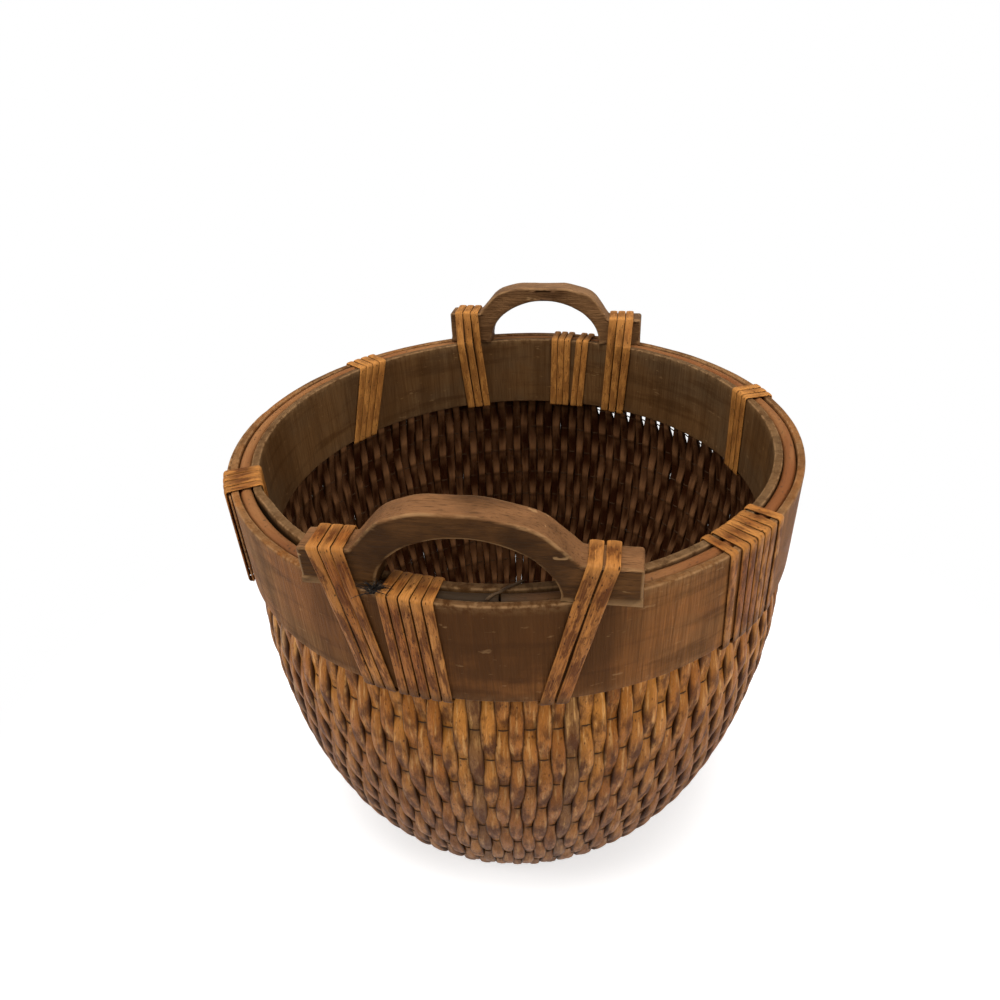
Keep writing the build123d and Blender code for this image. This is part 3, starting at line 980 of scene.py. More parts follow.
@dataclass
class WovenWall:
    """Bowl of upright willow rods twined with thin cord, every other rod pinched in turn."""

    effects: SharedEffects
    profile: WallProfile = field(default_factory=WallProfile)
    rod_count: int = 152
    rod_sides: int = 10
    rod_thick: float = 5.4
    rod_fill: float = 1.10
    rod_square: tuple[float, float] = (0.70, 0.60)
    rod_wander: float = 0.8
    sway: float = 1.25
    collar_run: float = 50.0
    collar_calm: float = 0.55
    lip_phase: float = 0.085
    lip_wide: float = 0.06
    lip_high: float = 0.35
    flattened: float = 0.16
    belly_runs: tuple[float, float] = (75.0, 230.0)
    belly_more: float = 0.07
    waist_least: float = 0.10
    waist_more: float = 0.22
    ease: float = 1.02
    row_gap: float = 27.8
    first_row: float = 92.5
    row_stations: int = 8
    wave_high: tuple[float, float] = (2.4, 0.8)
    short_radii: tuple[float, float] = (110.0, 150.0)
    middle_radii: tuple[float, float] = (56.0, 90.0)
    twine_radius: float = 0.62
    twine_sides: int = 5
    twine_steps: int = 4
    twine_clear: float = 0.1
    twine_centre: float = 12.0
    twine_least: float = 0.18
    slits: tuple[float, ...] = (
        73.0, 68.0, 63.5, 59.0, 54.0, 49.5, 45.0, 40.0, 35.5, 31.0, 17.0
    )
    slit_wide: float = 4.4
    slit_high: float = 291.5
    slit_long: float = 9.0
    grey_rods: tuple[int, ...] = (114, 33, 68, 95, 121, 12)
    grey_tone: float = 0.97
    tones: tuple[float, float] = (0.0, 0.85)
    girths: tuple[float, float] = (1.0, 1.08)
    lifts: tuple[float, float] = (-0.35, 0.35)
    # Painted shade in the creases at the pinches and on the rods' sides, where they meet their
    # neighbours.
    crease_wide: float = 0.022
    crease_dark: float = 0.8
    side_faces: tuple[float, float] = (0.76, 0.97)
    side_dark: float = 0.9
    # Strengths of the painted highlight on the swells and glints inside the bowl.
    swell_light: float = 0.22
    glint_light: float = 0.34
    pattern_step: float = 31.7
    quarters: int = 4
    rods: list[Rod] = field(init=False)

    def __post_init__(self) -> None:
        """Give each rod its own tone, girth and lift."""
        chance = random.Random(41)
        step = 360.0 / self.rod_count
        self.rods = []
        for number in range(self.rod_count):
            grey = number in self.grey_rods
            tone = self.grey_tone if grey else chance.uniform(*self.tones)
            girth = chance.uniform(*self.girths)
            self.rods.append(Rod(number, step, tone, girth, chance.uniform(*self.lifts)))
        for slit in self.slits:
            border = round(slit / step)
            self.rods[(border - 1) % self.rod_count].slit_up = self.slit_wide / 2
            self.rods[border % self.rod_count].slit_down = self.slit_wide / 2

    @property
    def gap(self) -> float:
        """Length of rod from one station to the next."""
        return self.row_gap / self.row_stations

    def wave(self, bearing: float, run: float) -> float:
        """Small rise and fall of the twined rows round the bowl."""
        spot = polar(2.6, bearing, run / 90.0)
        broad, fine = self.wave_high
        return broad * noise.noise(spot) + fine * noise.noise(spot * 5.0)

    def weights(self, radius: float) -> tuple[float, float]:
        """Shares of the short and the middle rods that are left at a radius."""
        return smooth_step(*self.short_radii, radius), smooth_step(*self.middle_radii, radius)

    def phase(self, rod: Rod, run: float, radius: float) -> float:
        """Where a point of a rod lies between two pinches, from 0 to 1 going down."""
        short, middle = self.weights(radius)
        shift = 0.5 * (rod.number % 2)
        if rod.kind is RodKind.MIDDLE:
            shift += 0.5 * (1.0 - short)
        if rod.odd_long:
            shift += 0.5 * (1.0 - middle)
        travelled = run + self.wave(rod.bearing, run) - self.first_row
        return (travelled / (2.0 * self.row_gap) + shift) % 1.0

    def half_angle(self, rod: Rod, radius: float) -> float:
        """Half of the bearing range that a rod fills at a radius."""
        short, middle = self.weights(radius)
        if rod.kind is RodKind.SHORT:
            return rod.step * short / (1.0 + short)
        share = middle if rod.kind is RodKind.MIDDLE else 1.0
        wide = 2.0 * share / (1.0 + middle)
        return rod.step * wide / (1.0 + short)

    def shape(self, rod: Rod, run: float, radius: float) -> tuple[float, float, float]:
        """Work out a rod's section at a run.

        Args:
            rod: The rod.
            run: Length from the top.
            radius: Radius of the wall there.

        Returns:
            How far the rod stands out, half its thickness, and its width factor.
        """
        phase = self.phase(rod, run, radius)
        pinch = abs(math.cos(math.pi * phase))
        lip = self.lip_high * bell(phase - self.lip_phase, self.lip_wide)
        calm = self.collar_calm if run < self.collar_run else 1.0
        stand = self.sway * calm * (1.0 - 2.0 * pinch ** 3) + lip + rod.lift
        half = self.rod_thick / 2.0 * (self.ease - self.flattened * pinch ** 8)
        belly = smooth_step(*self.belly_runs, run)
        waist = (self.waist_least + self.waist_more * belly) * pinch ** 3.4
        return stand, half, self.ease + self.belly_more * belly - waist

    def build(self) -> None:
        """Make the rods in quarters, then the twine."""
        finish = WillowFinish("peeled_willow", self.effects).build()
        share = self.rod_count // self.quarters
        templates = self._templates()
        for quarter in range(self.quarters):
            maker = MeshMaker(("tone", "stain", "inward", "tip", "shade"), ("weave_place",))
            for rod in self.rods[quarter * share:(quarter + 1) * share]:
                self._bend_rod(maker, templates[rod.kind], rod)
            maker.finish(
                f"willow_rods_quarter_{quarter + 1}", finish, Slot.WEAVE, "woven_bowl"
            )
        for mesh in templates.values():
            bpy.data.meshes.remove(mesh)
        self._build_twine()

    def _templates(self) -> dict[RodKind, bpy.types.Mesh]:
        """Straight rods of the three lengths, the long ones to the centre of the foot."""
        ends = {
            RodKind.SHORT: self.profile.run_to(self.short_radii[0] + 1.0),
            RodKind.MIDDLE: self.profile.run_to(self.middle_radii[0] + 1.0),
            RodKind.LONG: self.profile.length - 1.0 + self.gap,
        }
        return {kind: tube_template(self.rod_sides, int(end / self.gap))
                for kind, end in ends.items()}

    def _bend_rod(self, maker: MeshMaker, template: bpy.types.Mesh, rod: Rod) -> None:
        """Bend one copy of a straight rod to the wall and give it its attributes."""
        cache: dict[int, tuple] = {}
        for vert in maker.copy(template):
            station = round(vert.co.z)
            run = station * self.gap
            if station not in cache:
                place, out = self.profile.at(run)
                cache[station] = (
                    place, out, self.shape(rod, run, place.x),
                    self.half_angle(rod, place.x), self.phase(rod, run, place.x),
                )
            place, out, (stand, half, fill), half_angle, phase = cache[station]
            across = signed_power(vert.co.x, self.rod_square[0])
            depth = signed_power(vert.co.y, self.rod_square[1]) * half
            slit = rod.slit_up if across > 0.0 else rod.slit_down
            slit *= bell(place.y - self.slit_high, self.slit_long)
            reach = half_angle * fill * rod.girth * self.rod_fill
            reach -= math.degrees(slit / place.x)
            spot = polar(4.0, rod.bearing, run / 60.0)
            middle = rod.bearing + self.rod_wander * noise.noise(spot)
            flat = place + out * (stand + depth)
            self._mark(maker, vert, rod, phase, across * math.radians(reach) * place.x, run)
            vert.co = self.profile.put(flat.x, middle + across * reach, flat.y)

    def _mark(self, maker: MeshMaker, vert: Vert, rod: Rod, phase: float,
              aside: float, run: float) -> None:
        """Set a rod vertex's attributes while it still has its place on the straight rod.

        Args:
            maker: Mesh that gets the rods.
            vert: Vertex to mark.
            rod: Its rod.
            phase: Where it lies between two pinches.
            aside: How far it lies from the rod's middle.
            run: Its length from the top.
        """
        # Lower half of each swell: brown stain, and painted shade under the swell.
        stain = smooth_step(0.30, 0.62, phase) * (1.0 - smooth_step(0.86, 0.98, phase))
        # Painted shade in the crease of each pinch and on the rod's sides.
        crease = max(bell(phase, self.crease_wide), bell(phase - 1.0, self.crease_wide))
        side = smooth_step(*self.side_faces, abs(vert.co.x))
        # Swell and glint: painted highlight on the inward bulge of each rod, kept off its sides.
        swell = max(smooth_step(0.66, 0.80, phase), 1.0 - smooth_step(0.06, 0.20, phase))
        glint = smooth_step(0.76, 0.92, phase) * (1.0 - smooth_step(0.95, 0.99, phase))
        light = self.swell_light * swell + self.glint_light * glint
        maker.mark(
            vert, tone=rod.tone, stain=stain, inward=smooth_step(-0.15, 0.35, -vert.co.y),
            tip=light * (1.0 - side),
            shade=max(side * self.side_dark, crease * self.crease_dark),
        )
        maker.spot(vert, "weave_place", aside + rod.number * self.pattern_step, run)

    def _build_twine(self) -> None:
        """Lead twine round the bowl at every row, outside one rod and inside the next."""
        finish = TwineFinish("dark_twine", self.effects).build()
        maker = MeshMaker(())
        last = self.profile.run_to(self.twine_centre)
        row = -1
        while self.first_row + row * self.row_gap < last:
            self._lead_twine(maker, self.first_row + row * self.row_gap)
            row += 1
        maker.finish("twine_rows", finish, Slot.WEAVE, "woven_bowl")

    def _lead_twine(self, maker: MeshMaker, run: float) -> None:
        """Add the ring of twine of one row."""
        radius = self.profile.at(run)[0].x
        active = [rod for rod in self.rods
                  if self.half_angle(rod, radius) > self.twine_least * rod.step]
        points: list[Vector] = []
        for rod, after in zip(active, active[1:] + active[:1]):
            points.extend(self._twine_points(rod, after, run))
        steps = len(points)
        verts = maker.tube(self.twine_sides, steps, capped=False)
        for vert in verts:
            station = round(vert.co.z)
            point = points[station]
            way = (points[(station + 1) % steps] - points[station - 1]).normalized()
            out = Vector((point.x, point.y, 0.0)).normalized()
            side = way.cross(out).normalized()
            out = side.cross(way)
            around = vert.co.copy()
            vert.co = point + (out * around.x + side * around.y) * self.twine_radius
        ends = [edge for edge in {e for v in verts for e in v.link_edges} if edge.is_boundary]
        bmesh.ops.bridge_loops(maker.bm, edges=ends)

    def _twine_points(self, rod: Rod, after: Rod, run: float) -> list[Vector]:
        """Places of the twine from one rod's middle to just before the next one's."""
        here = self._twine_depth(rod, run)
        there = self._twine_depth(after, run)
        gap = (after.bearing - rod.bearing) % 360.0
        points = []
        for step in range(self.twine_steps):
            share = step / self.twine_steps
            bearing = rod.bearing + gap * share
            place, out = self.profile.at(run - self.wave(bearing, run))
            depth = here + (there - here) * smooth_step(0.0, 1.0, share)
            flat = place + out * depth
            points.append(self.profile.put(flat.x, bearing, flat.y))
        return points

    def _twine_depth(self, rod: Rod, run: float) -> float:
        """How far out the twine lies where it passes a rod."""
        real = run - self.wave(rod.bearing, run)
        place, _ = self.profile.at(real)
        phase = self.phase(rod, real, place.x)
        stand, half, _ = self.shape(rod, real, place.x)
        outside = math.cos(math.tau * phase) > 0.0
        return stand + (half + self.twine_clear) * (1.0 if outside else -1.0)


@dataclass
class Hoop:
    """Bentwood hoop of rectangular section with rounded long edges."""

    name: str
    inner: float
    outer: float
    low: float
    high: float
    slot: Slot
    node: str
    edge: float = 1.3
    edge_share: float = 0.4
    steps: int = 240
    height_cuts: int = 11
    rub: float = 1.1
    low_rub: float = 0.5
    sink: float = 0.3
    sag: float = 0.35

    def section(self, bm: bmesh.types.BMesh, inner: float, outer: float, low: float,
                high: float) -> list[Edge]:
        """Lay out a section's outline in the XZ plane.

        Args:
            bm: Mesh that gets the outline.
            inner: Inner radius.
            outer: Outer radius.
            low: Lower height.
            high: Upper height.

        Returns:
            The edges of the outline.
        """
        corners = ((inner, low), (outer, low), (outer, high), (inner, high))
        before = set(bm.faces)
        verts = [bm.verts.new((x, 0.0, z)) for x, z in corners]
        bm.faces.new(verts)
        edge = min(self.edge, (outer - inner) * self.edge_share)
        bmesh.ops.bevel(
            bm, geom=verts, offset=edge, segments=3, profile=0.5,
            affect="VERTICES", material=-1,
        )
        fresh = [face for face in bm.faces if face not in before]
        tall = [item for item in fresh[0].edges if item.calc_length() > (high - low) * 0.5]
        bmesh.ops.subdivide_edges(bm, edges=tall, cuts=self.height_cuts)
        fresh = [face for face in bm.faces if face not in before]
        edges = {item for face in fresh for item in face.edges}
        rungs = [item for item in edges if not item.is_boundary]
        outline = [item for item in edges if item.is_boundary]
        bmesh.ops.delete(bm, geom=rungs, context="EDGES_FACES")
        return [item for item in outline if item.is_valid]

    def build(self, material: bpy.types.Material) -> None:
        """Make the hoop and dress it."""
        maker = MeshMaker(("edge",))
        edges = self.section(maker.bm, self.inner, self.outer, self.low, self.high)
        self.sweep(maker.bm, edges, math.tau, self.steps, use_merge=True)
        bmesh.ops.remove_doubles(maker.bm, verts=maker.bm.verts, dist=0.001)
        self.weather(maker)
        self.extend(maker)
        maker.finish(self.name, material, self.slot, self.node)

    @staticmethod
    def sweep(bm: bmesh.types.BMesh, edges: list[Edge], angle: float, steps: int,
              **options: bool) -> list[Edge]:
        """Spin an outline about the basket's axis.

        Args:
            bm: Mesh that holds the outline.
            edges: Edges of the outline.
            angle: How far to spin it, in radians.
            steps: Number of steps on the way.
            **options: Further options of Blender's spin.

        Returns:
            The edges at the far end.
        """
        verts = list({vert for item in edges for vert in item.verts})
        made = bmesh.ops.spin(
            bm, geom=verts + edges, cent=(0.0, 0.0, 0.0), axis=(0.0, 0.0, 1.0),
            angle=angle, steps=steps, **options,
        )
        return [item for item in made["geom_last"] if isinstance(item, Edge)]

    def extend(self, maker: MeshMaker) -> None:
        """Add whatever else belongs to the hoop's mesh; a plain hoop has nothing more."""

    def weather(self, maker: MeshMaker) -> None:
        """Mark the edges, and let the faces and the top sink unevenly by a fraction of a mm."""
        middle = (self.inner + self.outer) / 2.0
        for vert in maker.bm.verts:
            radius = math.hypot(vert.co.x, vert.co.y)
            outside = radius > middle
            corner = self.outer if outside else self.inner
            drop = min(vert.co.z - self.low, self.high - vert.co.z)
            upper = vert.co.z > (self.low + self.high) / 2.0
            rub = bell(math.hypot(corner - radius, drop), self.rub)
            maker.mark(vert, edge=rub * (1.0 if upper else self.low_rub))
            sink = self.sink * (0.5 + 0.5 * noise.noise(vert.co / 26.0))
            way = Vector((vert.co.x, vert.co.y, 0.0)) / radius
            vert.co += way * self.shift(vert.co, sink, outside)
            if upper:
                vert.co.z -= self.sag * (0.5 + 0.5 * noise.noise(vert.co / 19.0))

    def shift(self, place: Vector, sink: float, outside: bool) -> float:
        """How far a place moves out when its face sinks into the wood.

        Args:
            place: The place.
            sink: How deep the surface sinks there.
            outside: Whether the place is on the outer face.

        Returns:
            The move along the radius, negative towards the axis.
        """
        return -sink if outside else sink


@dataclass
class InnerHoop(Hoop):
    """Inner hoop, pressed inward along one stretch on the left of the front handle."""

    press_start: float = -147.0
    press_end: float = -112.0
    press_in: float = 9.0
    press_out: float = 12.0
    press_deep: float = 2.6
    sink_share: float = 0.2

    def shift(self, place: Vector, sink: float, outside: bool) -> float:
        """Move both faces alike, and inward where the hoop is pressed."""
        bearing = math.degrees(math.atan2(place.y, place.x))
        pressed = smooth_step(self.press_start, self.press_start + self.press_in, bearing)
        pressed *= smooth_step(-self.press_end, -self.press_end + self.press_out, -bearing)
        if not outside:
            sink += pressed
        return -sink * self.sink_share - self.press_deep * pressed


@dataclass
class OuterHoop(Hoop):
    """Outer hoop, whose thinned free end laps over its start on the left side."""

    lap_start: float = -145.0
    lap_end: float = -187.0
    lap_inner: float = 215.35
    lap_outer: float = 217.7
    lap_inset: float = 2.0
    lap_steps: int = 40
    lap_taper: float = 9.0
    lap_thinned: float = 0.45
    root_long: float = 5.0
    root_deep: float = 1.9

    def extend(self, maker: MeshMaker) -> None:
        """Add the lapping end as a closed curved plate."""
        edges = self.section(
            maker.bm, self.lap_inner, self.lap_outer,
            self.low + self.lap_inset, self.high - self.lap_inset,
        )
        verts = list({vert for item in edges for vert in item.verts})
        turn = Matrix.Rotation(math.radians(self.lap_end), 4, "Z")
        bmesh.ops.transform(maker.bm, matrix=turn, verts=verts)
        angle = math.radians(self.lap_start - self.lap_end)
        last = self.sweep(maker.bm, edges, angle, self.lap_steps)
        bmesh.ops.holes_fill(maker.bm, edges=list({*edges, *last}), sides=0)
        for vert in maker.bm.verts:
            self._thin(maker, vert)

    def _thin(self, maker: MeshMaker, vert: Vert) -> None:
        """Thin the lap towards its free end and sink its root into the hoop."""
        bearing = math.degrees(math.atan2(vert.co.y, vert.co.x))
        bearing = bearing - 360.0 if bearing > 0.0 else bearing
        radius = vert.co.xy.length
        if radius < self.lap_inner - 0.01:
            return
        free = smooth_step(self.lap_start - self.lap_taper, self.lap_start, bearing)
        root = 1.0 - smooth_step(self.lap_end, self.lap_end + self.root_long, bearing)
        shrink = (radius - self.lap_inner) * self.lap_thinned * free + root * self.root_deep
        vert.co.xy *= (radius - shrink) / radius
        drop = min(vert.co.z - self.low, self.high - vert.co.z) - self.lap_inset
        maker.mark(vert, edge=max(bell(drop, 2.0), free * 0.8))


@dataclass
class RimRod:
    """Peeled rod that lies between the hoops, with a butt joint under the front handle."""

    effects: SharedEffects
    ring: float = 204.85
    high: float = 360.5
    radius: float = 4.5
    sides: int = 16
    start: float = -83.2
    sweep: float = 359.6
    stations: int = 300
    length: float = 1.287
    # Bearing and width of the painted shadow under the front handle.
    handle_shadow_at: float = -92.0
    handle_shadow_wide: float = 24.0

    def build(self) -> None:
        """Make the rod with a slightly uneven girth and lie."""
        maker = MeshMaker(("grimy",), ("rod_place",))
        for vert in maker.tube(self.sides, self.stations):
            share = vert.co.z / (self.stations - 1)
            bearing = self.start + self.sweep * share
            spot = polar(3.0, bearing, 0.0)
            girth = self.radius * (0.96 + 0.04 * noise.noise(spot * 2.0))
            lie = 0.5 * noise.noise(spot * 1.7 + Vector((9.0, 0.0, 0.0)))
            out, up = vert.co.x * girth, vert.co.y * girth
            vert[maker.places["rod_place"]] = Vector((share * self.length, out * MM, up * MM))
            # Painted shadow under the front handle.
            aside = (bearing - self.handle_shadow_at + 180.0) % 360.0 - 180.0
            maker.mark(vert, grimy=min(1.0, 1.1 * bell(aside, self.handle_shadow_wide)))
            vert.co = polar(self.ring + out, bearing, self.high + up - 0.2 + lie)
        finish = RimRodFinish("rim_rod_cane", self.effects).build()
        maker.finish("rim_rod_round", finish, Slot.RIM_ROD, "rim_rod")


@dataclass
class Handle:
    """Bridge-shaped handle cut from a plank, with a hand opening and worn edges."""

    side: Side
    corners: tuple[tuple[float, float, float], ...]
    hand_middle: float
    hand_half: float
    hand_high: float
    near: float = 183.0
    thick: float = 22.0
    base: float = 365.0
    rows: int = 6
    column_wide: float = 5.0
    corner_steps: int = 7
    edge: float = 2.2
    edge_segments: int = 3
    depth_cuts: int = 4
    knife: float = 0.55

    def outline(self) -> list[Vector]:
        """Outer outline from the left foot over the crown to the right one.

        Returns:
            Points in the XZ plane, the corners rounded and the runs divided.
        """
        left, right = self.corners[0][0], self.corners[-1][0]
        plain = [Vector((left, 0.0))]
        plain += [Vector((x, high)) for x, high, _ in self.corners]
        plain.append(Vector((right, 0.0)))
        points = [plain[0]]
        for before, corner, after, sizes in zip(plain, plain[1:], plain[2:], self.corners):
            points.extend(round_corner(before, corner, after, sizes[2], self.corner_steps))
        points.append(plain[-1])
        spaced = [points[0]]
        for point in points[1:]:
            count = max(1, round((point - spaced[-1]).length / self.column_wide))
            last = spaced[-1]
            spaced += [last.lerp(point, number / count) for number in range(1, count + 1)]
        return spaced

    def build(self, material: bpy.types.Material, name: str, node: str) -> None:
        """Bend a grid to the handle's face, thicken it and round its edges.

        Args:
            material: Finish of the handle.
            name: Name of the piece.
            node: CAD node that it stands for.
        """
        maker = MeshMaker(("edge", "upward"))
        bm = maker.bm
        outline = self.outline()
        columns = len(outline) - 1
        centre = Vector((self.hand_middle, 0.0))
        bmesh.ops.create_grid(bm, x_segments=columns, y_segments=self.rows, size=1.0)
        for vert in bm.verts:
            outer = outline[round((vert.co.x + 1.0) / 2.0 * columns)]
            way = outer - centre
            reach = math.hypot(way.x / self.hand_half, way.y / self.hand_high)
            flat = (centre + way / reach).lerp(outer, (vert.co.y + 1.0) / 2.0)
            vert.co = Vector((flat.x, 0.0, flat.y + self.base))
        made = bmesh.ops.extrude_face_region(bm, geom=list(bm.faces))["geom"]
        moved = [item for item in made if isinstance(item, Vert)]
        bmesh.ops.translate(bm, verts=moved, vec=(0.0, self.thick, 0.0))
        middle = self.side.value * (self.near + self.thick / 2.0)
        bmesh.ops.translate(bm, verts=bm.verts, vec=(0.0, middle - self.thick / 2.0, 0.0))
        bmesh.ops.recalc_face_normals(bm, faces=bm.faces)
        self._round_edges(bm)
        self._carve(maker)
        maker.finish(name, material, Slot.HANDLE, node)

    def _round_edges(self, bm: bmesh.types.BMesh) -> None:
        """Round the long edges, then cut loops across the thickness."""
        def level(face: bmesh.types.BMFace) -> bool:
            return abs(face.normal.y) > 0.5

        edges = [edge for edge in bm.edges if len(edge.link_faces) == 2
                 and level(edge.link_faces[0]) != level(edge.link_faces[1])
                 and min(vert.co.z for vert in edge.verts) > self.base + 0.5]
        bmesh.ops.bevel(
            bm, geom=edges, offset=self.edge, segments=self.edge_segments, profile=0.5,
            affect="EDGES", material=-1,
        )
        across = [edge for edge in bm.edges
                  if abs(edge.verts[0].co.y - edge.verts[1].co.y) > self.thick * 0.6]
        bmesh.ops.subdivide_edges(bm, edges=across, cuts=self.depth_cuts, use_grid_fill=True)

    def _carve(self, maker: MeshMaker) -> None:
        """Mark edges and tops, and sink the surface unevenly as a knife leaves it."""
        bm = maker.bm
        bm.normal_update()
        for vert in bm.verts:
            slope = 1.0 - max(abs(vert.normal.y), vert.normal.xz.length)
            maker.mark(vert, edge=smooth_step(0.02, 0.2, slope),
                       upward=smooth_step(0.2, 0.8, vert.normal.z))
            if vert.co.z < self.base + 0.5:
                continue
            rough = 0.5 + 0.5 * noise.noise(vert.co / 17.0) + 0.3 * noise.noise(vert.co / 6.0)
            vert.co -= vert.normal * self.knife * max(0.0, rough)


def round_corner(before: Vector, corner: Vector, after: Vector, radius: float,
                 steps: int) -> list[Vector]:
    """Points of the arc that rounds a corner of an outline.

    Args:
        before: Corner before it.
        corner: Corner to round.
        after: Corner after it.
        radius: Radius of the arc.
        steps: Number of points on the arc.

    Returns:
        The points, or the corner alone where the outline runs straight on.
    """
    arriving = (corner - before).normalized()
    leaving = (after - corner).normalized()
    half = arriving.angle(leaving) / 2.0
    if half < 0.01:
        return [corner]
    start = corner - arriving * radius * math.tan(half)
    end = corner + leaving * radius * math.tan(half)
    centre = corner + (leaving - arriving).normalized() * radius / math.cos(half)
    return [arc_point(centre, start, end, step / (steps - 1)) for step in range(steps)]


def arc_point(centre: Vector, start: Vector, end: Vector, share: float) -> Vector:
    """Point part way along the arc from start to end about a centre."""
    first, last = start - centre, end - centre
    angle = first.angle(last)
    mixed = first * math.sin((1.0 - share) * angle) + last * math.sin(share * angle)
    return centre + mixed / math.sin(angle)


@dataclass
class Station:
    """One place along a strip's path."""

    place: Vector
    way: Vector
    across: Vector
    length: float
    bent: float


@dataclass
class Ribbon:
    """Flat strip of cane led along corners and softly bent at each."""

    corners: list[tuple[Vector, Vector]]
    wide: float
    thick: float = 1.6
    bend: float = 1.9
    bend_steps: int = 5
    bend_least: float = 10.0
    step: float = 8.0
    sides: int = 12
    square: tuple[float, float] = (0.55, 0.6)
    thin_edge: float = 0.42
    # Painted light: how much lighter and paler the strip is painted.
    painted_light_lift: float = 0.0

    def stations(self) -> list[Station]:
        """Places along the strip, close together at its bends.

        Returns:
            The stations from the strip's start to its end.
        """
        rows: list[Station] = []
        self._put(rows, self.corners[0][0], self.corners[0][1], 0.0)
        for before, here, after in zip(self.corners, self.corners[1:], self.corners[2:]):
            corner, across = here
            arriving = (corner - before[0]).normalized()
            leaving = (after[0] - corner).normalized()
            if math.degrees(arriving.angle(leaving)) < self.bend_least:
                self._put(rows, corner, across, 0.0)
                continue
            for point in round_corner(
                before[0], corner, after[0], self.bend, self.bend_steps
            ):
                self._put(rows, point, across, 1.0)
        self._put(rows, self.corners[-1][0], self.corners[-1][1], 0.0)
        self._set_ways(rows)
        return rows

    def _put(self, rows: list[Station], place: Vector, across: Vector, bent: float) -> None:
        """Add a station, with others spaced evenly on the way to it."""
        if not rows:
            rows.append(Station(place, Vector(), across, 0.0, bent))
            return
        last = rows[-1]
        gap = (place - last.place).length
        count = max(1, round(gap / self.step))
        for number in range(1, count):
            share = number / count
            side = last.across.lerp(across, share).normalized()
            rows.append(Station(last.place.lerp(place, share), Vector(), side,
                                last.length + gap * share, 0.0))
        rows.append(Station(place, Vector(), across, last.length + gap, bent))

    @staticmethod
    def _set_ways(rows: list[Station]) -> None:
        """Give each station the direction of the strip there."""
        for number, row in enumerate(rows):
            before = rows[max(0, number - 1)].place
            after = rows[min(len(rows) - 1, number + 1)].place
            row.way = (after - before).normalized()

    def add_to(self, maker: MeshMaker, seed: float) -> None:
        """Bend a tube flat along the stations.

        Args:
            maker: Mesh that gets the strip.
            seed: Number that makes this strip's tone and wear its own.
        """
        rows = self.stations()
        for vert in maker.tube(self.sides, len(rows)):
            row = rows[round(vert.co.z)]
            side = (row.across - row.way * row.across.dot(row.way)).normalized()
            rise = row.way.cross(side).normalized()
            across = signed_power(vert.co.x, self.square[0])
            wave = noise.noise(Vector((row.length / 23.0, seed, 0.0)))
            wide = self.wide / 2.0 * (0.97 + 0.05 * wave)
            up = signed_power(vert.co.y, self.square[1]) * self.thick / 2.0
            up *= 1.0 - self.thin_edge * across ** 4
            self._mark(maker, vert, row, across, seed)
            vert.co = row.place + side * across * wide + rise * up

    def _mark(self, maker: MeshMaker, vert: Vert, row: Station, across: float,
              seed: float) -> None:
        """Set a strip vertex's attributes."""
        # Tone and paleness rise with the painted light lift; paleness also comes from worn bends
        # and edges.
        tone = 0.45 + self.painted_light_lift + noise.noise(Vector((row.length / 75.0, seed * 3.0, 5.0)))
        rubbed = 0.45 * row.bent + 0.25 * smooth_step(0.7, 1.0, abs(across)) + 0.7 * self.painted_light_lift
        # Painted shade low on the strip, where it enters the weave below the hoop.
        foot = 1.0 - smooth_step(291.0, 299.0, row.place.z)
        maker.mark(vert, tone=min(1.0, max(0.0, tone)), rubbed=min(1.0, rubbed),
                   shade=foot * 0.75)
        maker.spot(vert, "strip_place", across * self.wide / 2.0 + seed * 57.0, row.length)


@dataclass
class RimLevels:
    """Heights and radii of the rim that the lashings are led round."""

    top: float = 365.88
    outside: float = 215.88
    inside: float = 192.92
    low_outside: float = 288.0
    low_inside: float = 295.0
    tuck: float = 204.75
    tuck_high: float = 291.5
    far: float = 205.88
    near: float = 182.12
    hoop_top: float = 365.0


def spread(middle: float, pitch: float, turns: int) -> list[float]:
    """Evenly spaced places, one for each turn, round a middle."""
    return [middle + (turn - (turns - 1) / 2) * pitch for turn in range(turns)]


def clear_of_hoop(place: Vector, radius: float) -> Vector:
    """The place, moved out along its radius if it lies closer to the axis than the radius."""
    scale = max(1.0, (radius + 0.05) / math.hypot(place.x, place.y))
    return Vector((place.x * scale, place.y * scale, place.z))


@dataclass
class HoopLashing:
    """Strip wound round both hoops and the rod, the turns side by side."""

    name: str
    crest: float
    foot_out: float
    foot_in: float
    turns: int
    pitch: float
    wide: float
    proud: float = 0.0
    apart: float = 0.0
    levels: RimLevels = field(default_factory=RimLevels)

    def offsets(self) -> list[float]:
        """Bearing of each turn from the middle, the outer ones set apart where asked."""
        turns = spread(0.0, self.pitch, self.turns)
        turns[0] -= self.apart
        turns[-1] += self.apart
        return turns

    def corners(self) -> list[tuple[Vector, Vector]]:
        """Corners of the strip's path from its first tucked end to its last."""
        rim = self.levels
        outside = rim.outside + self.proud
        middle = (self.foot_out + self.foot_in) / 2.0
        reach = self.turns * self.pitch / 2.0 + self.apart
        places = [polar(rim.tuck, middle - reach, rim.tuck_high)]
        for turn in self.offsets():
            low = polar(outside, self.foot_out + turn, rim.low_outside - self.proud * 0.3)
            top = polar(outside, self.crest + turn, rim.top)
            places += [
                low, clear_of_hoop((low + top) / 2.0, outside), top,
                polar(rim.inside, self.crest + turn, rim.top),
                polar(rim.inside, self.foot_in + turn, rim.low_inside),
            ]
        places.append(polar(rim.tuck, middle + reach, rim.tuck_high))
        return [(place, tangent(place)) for place in places]


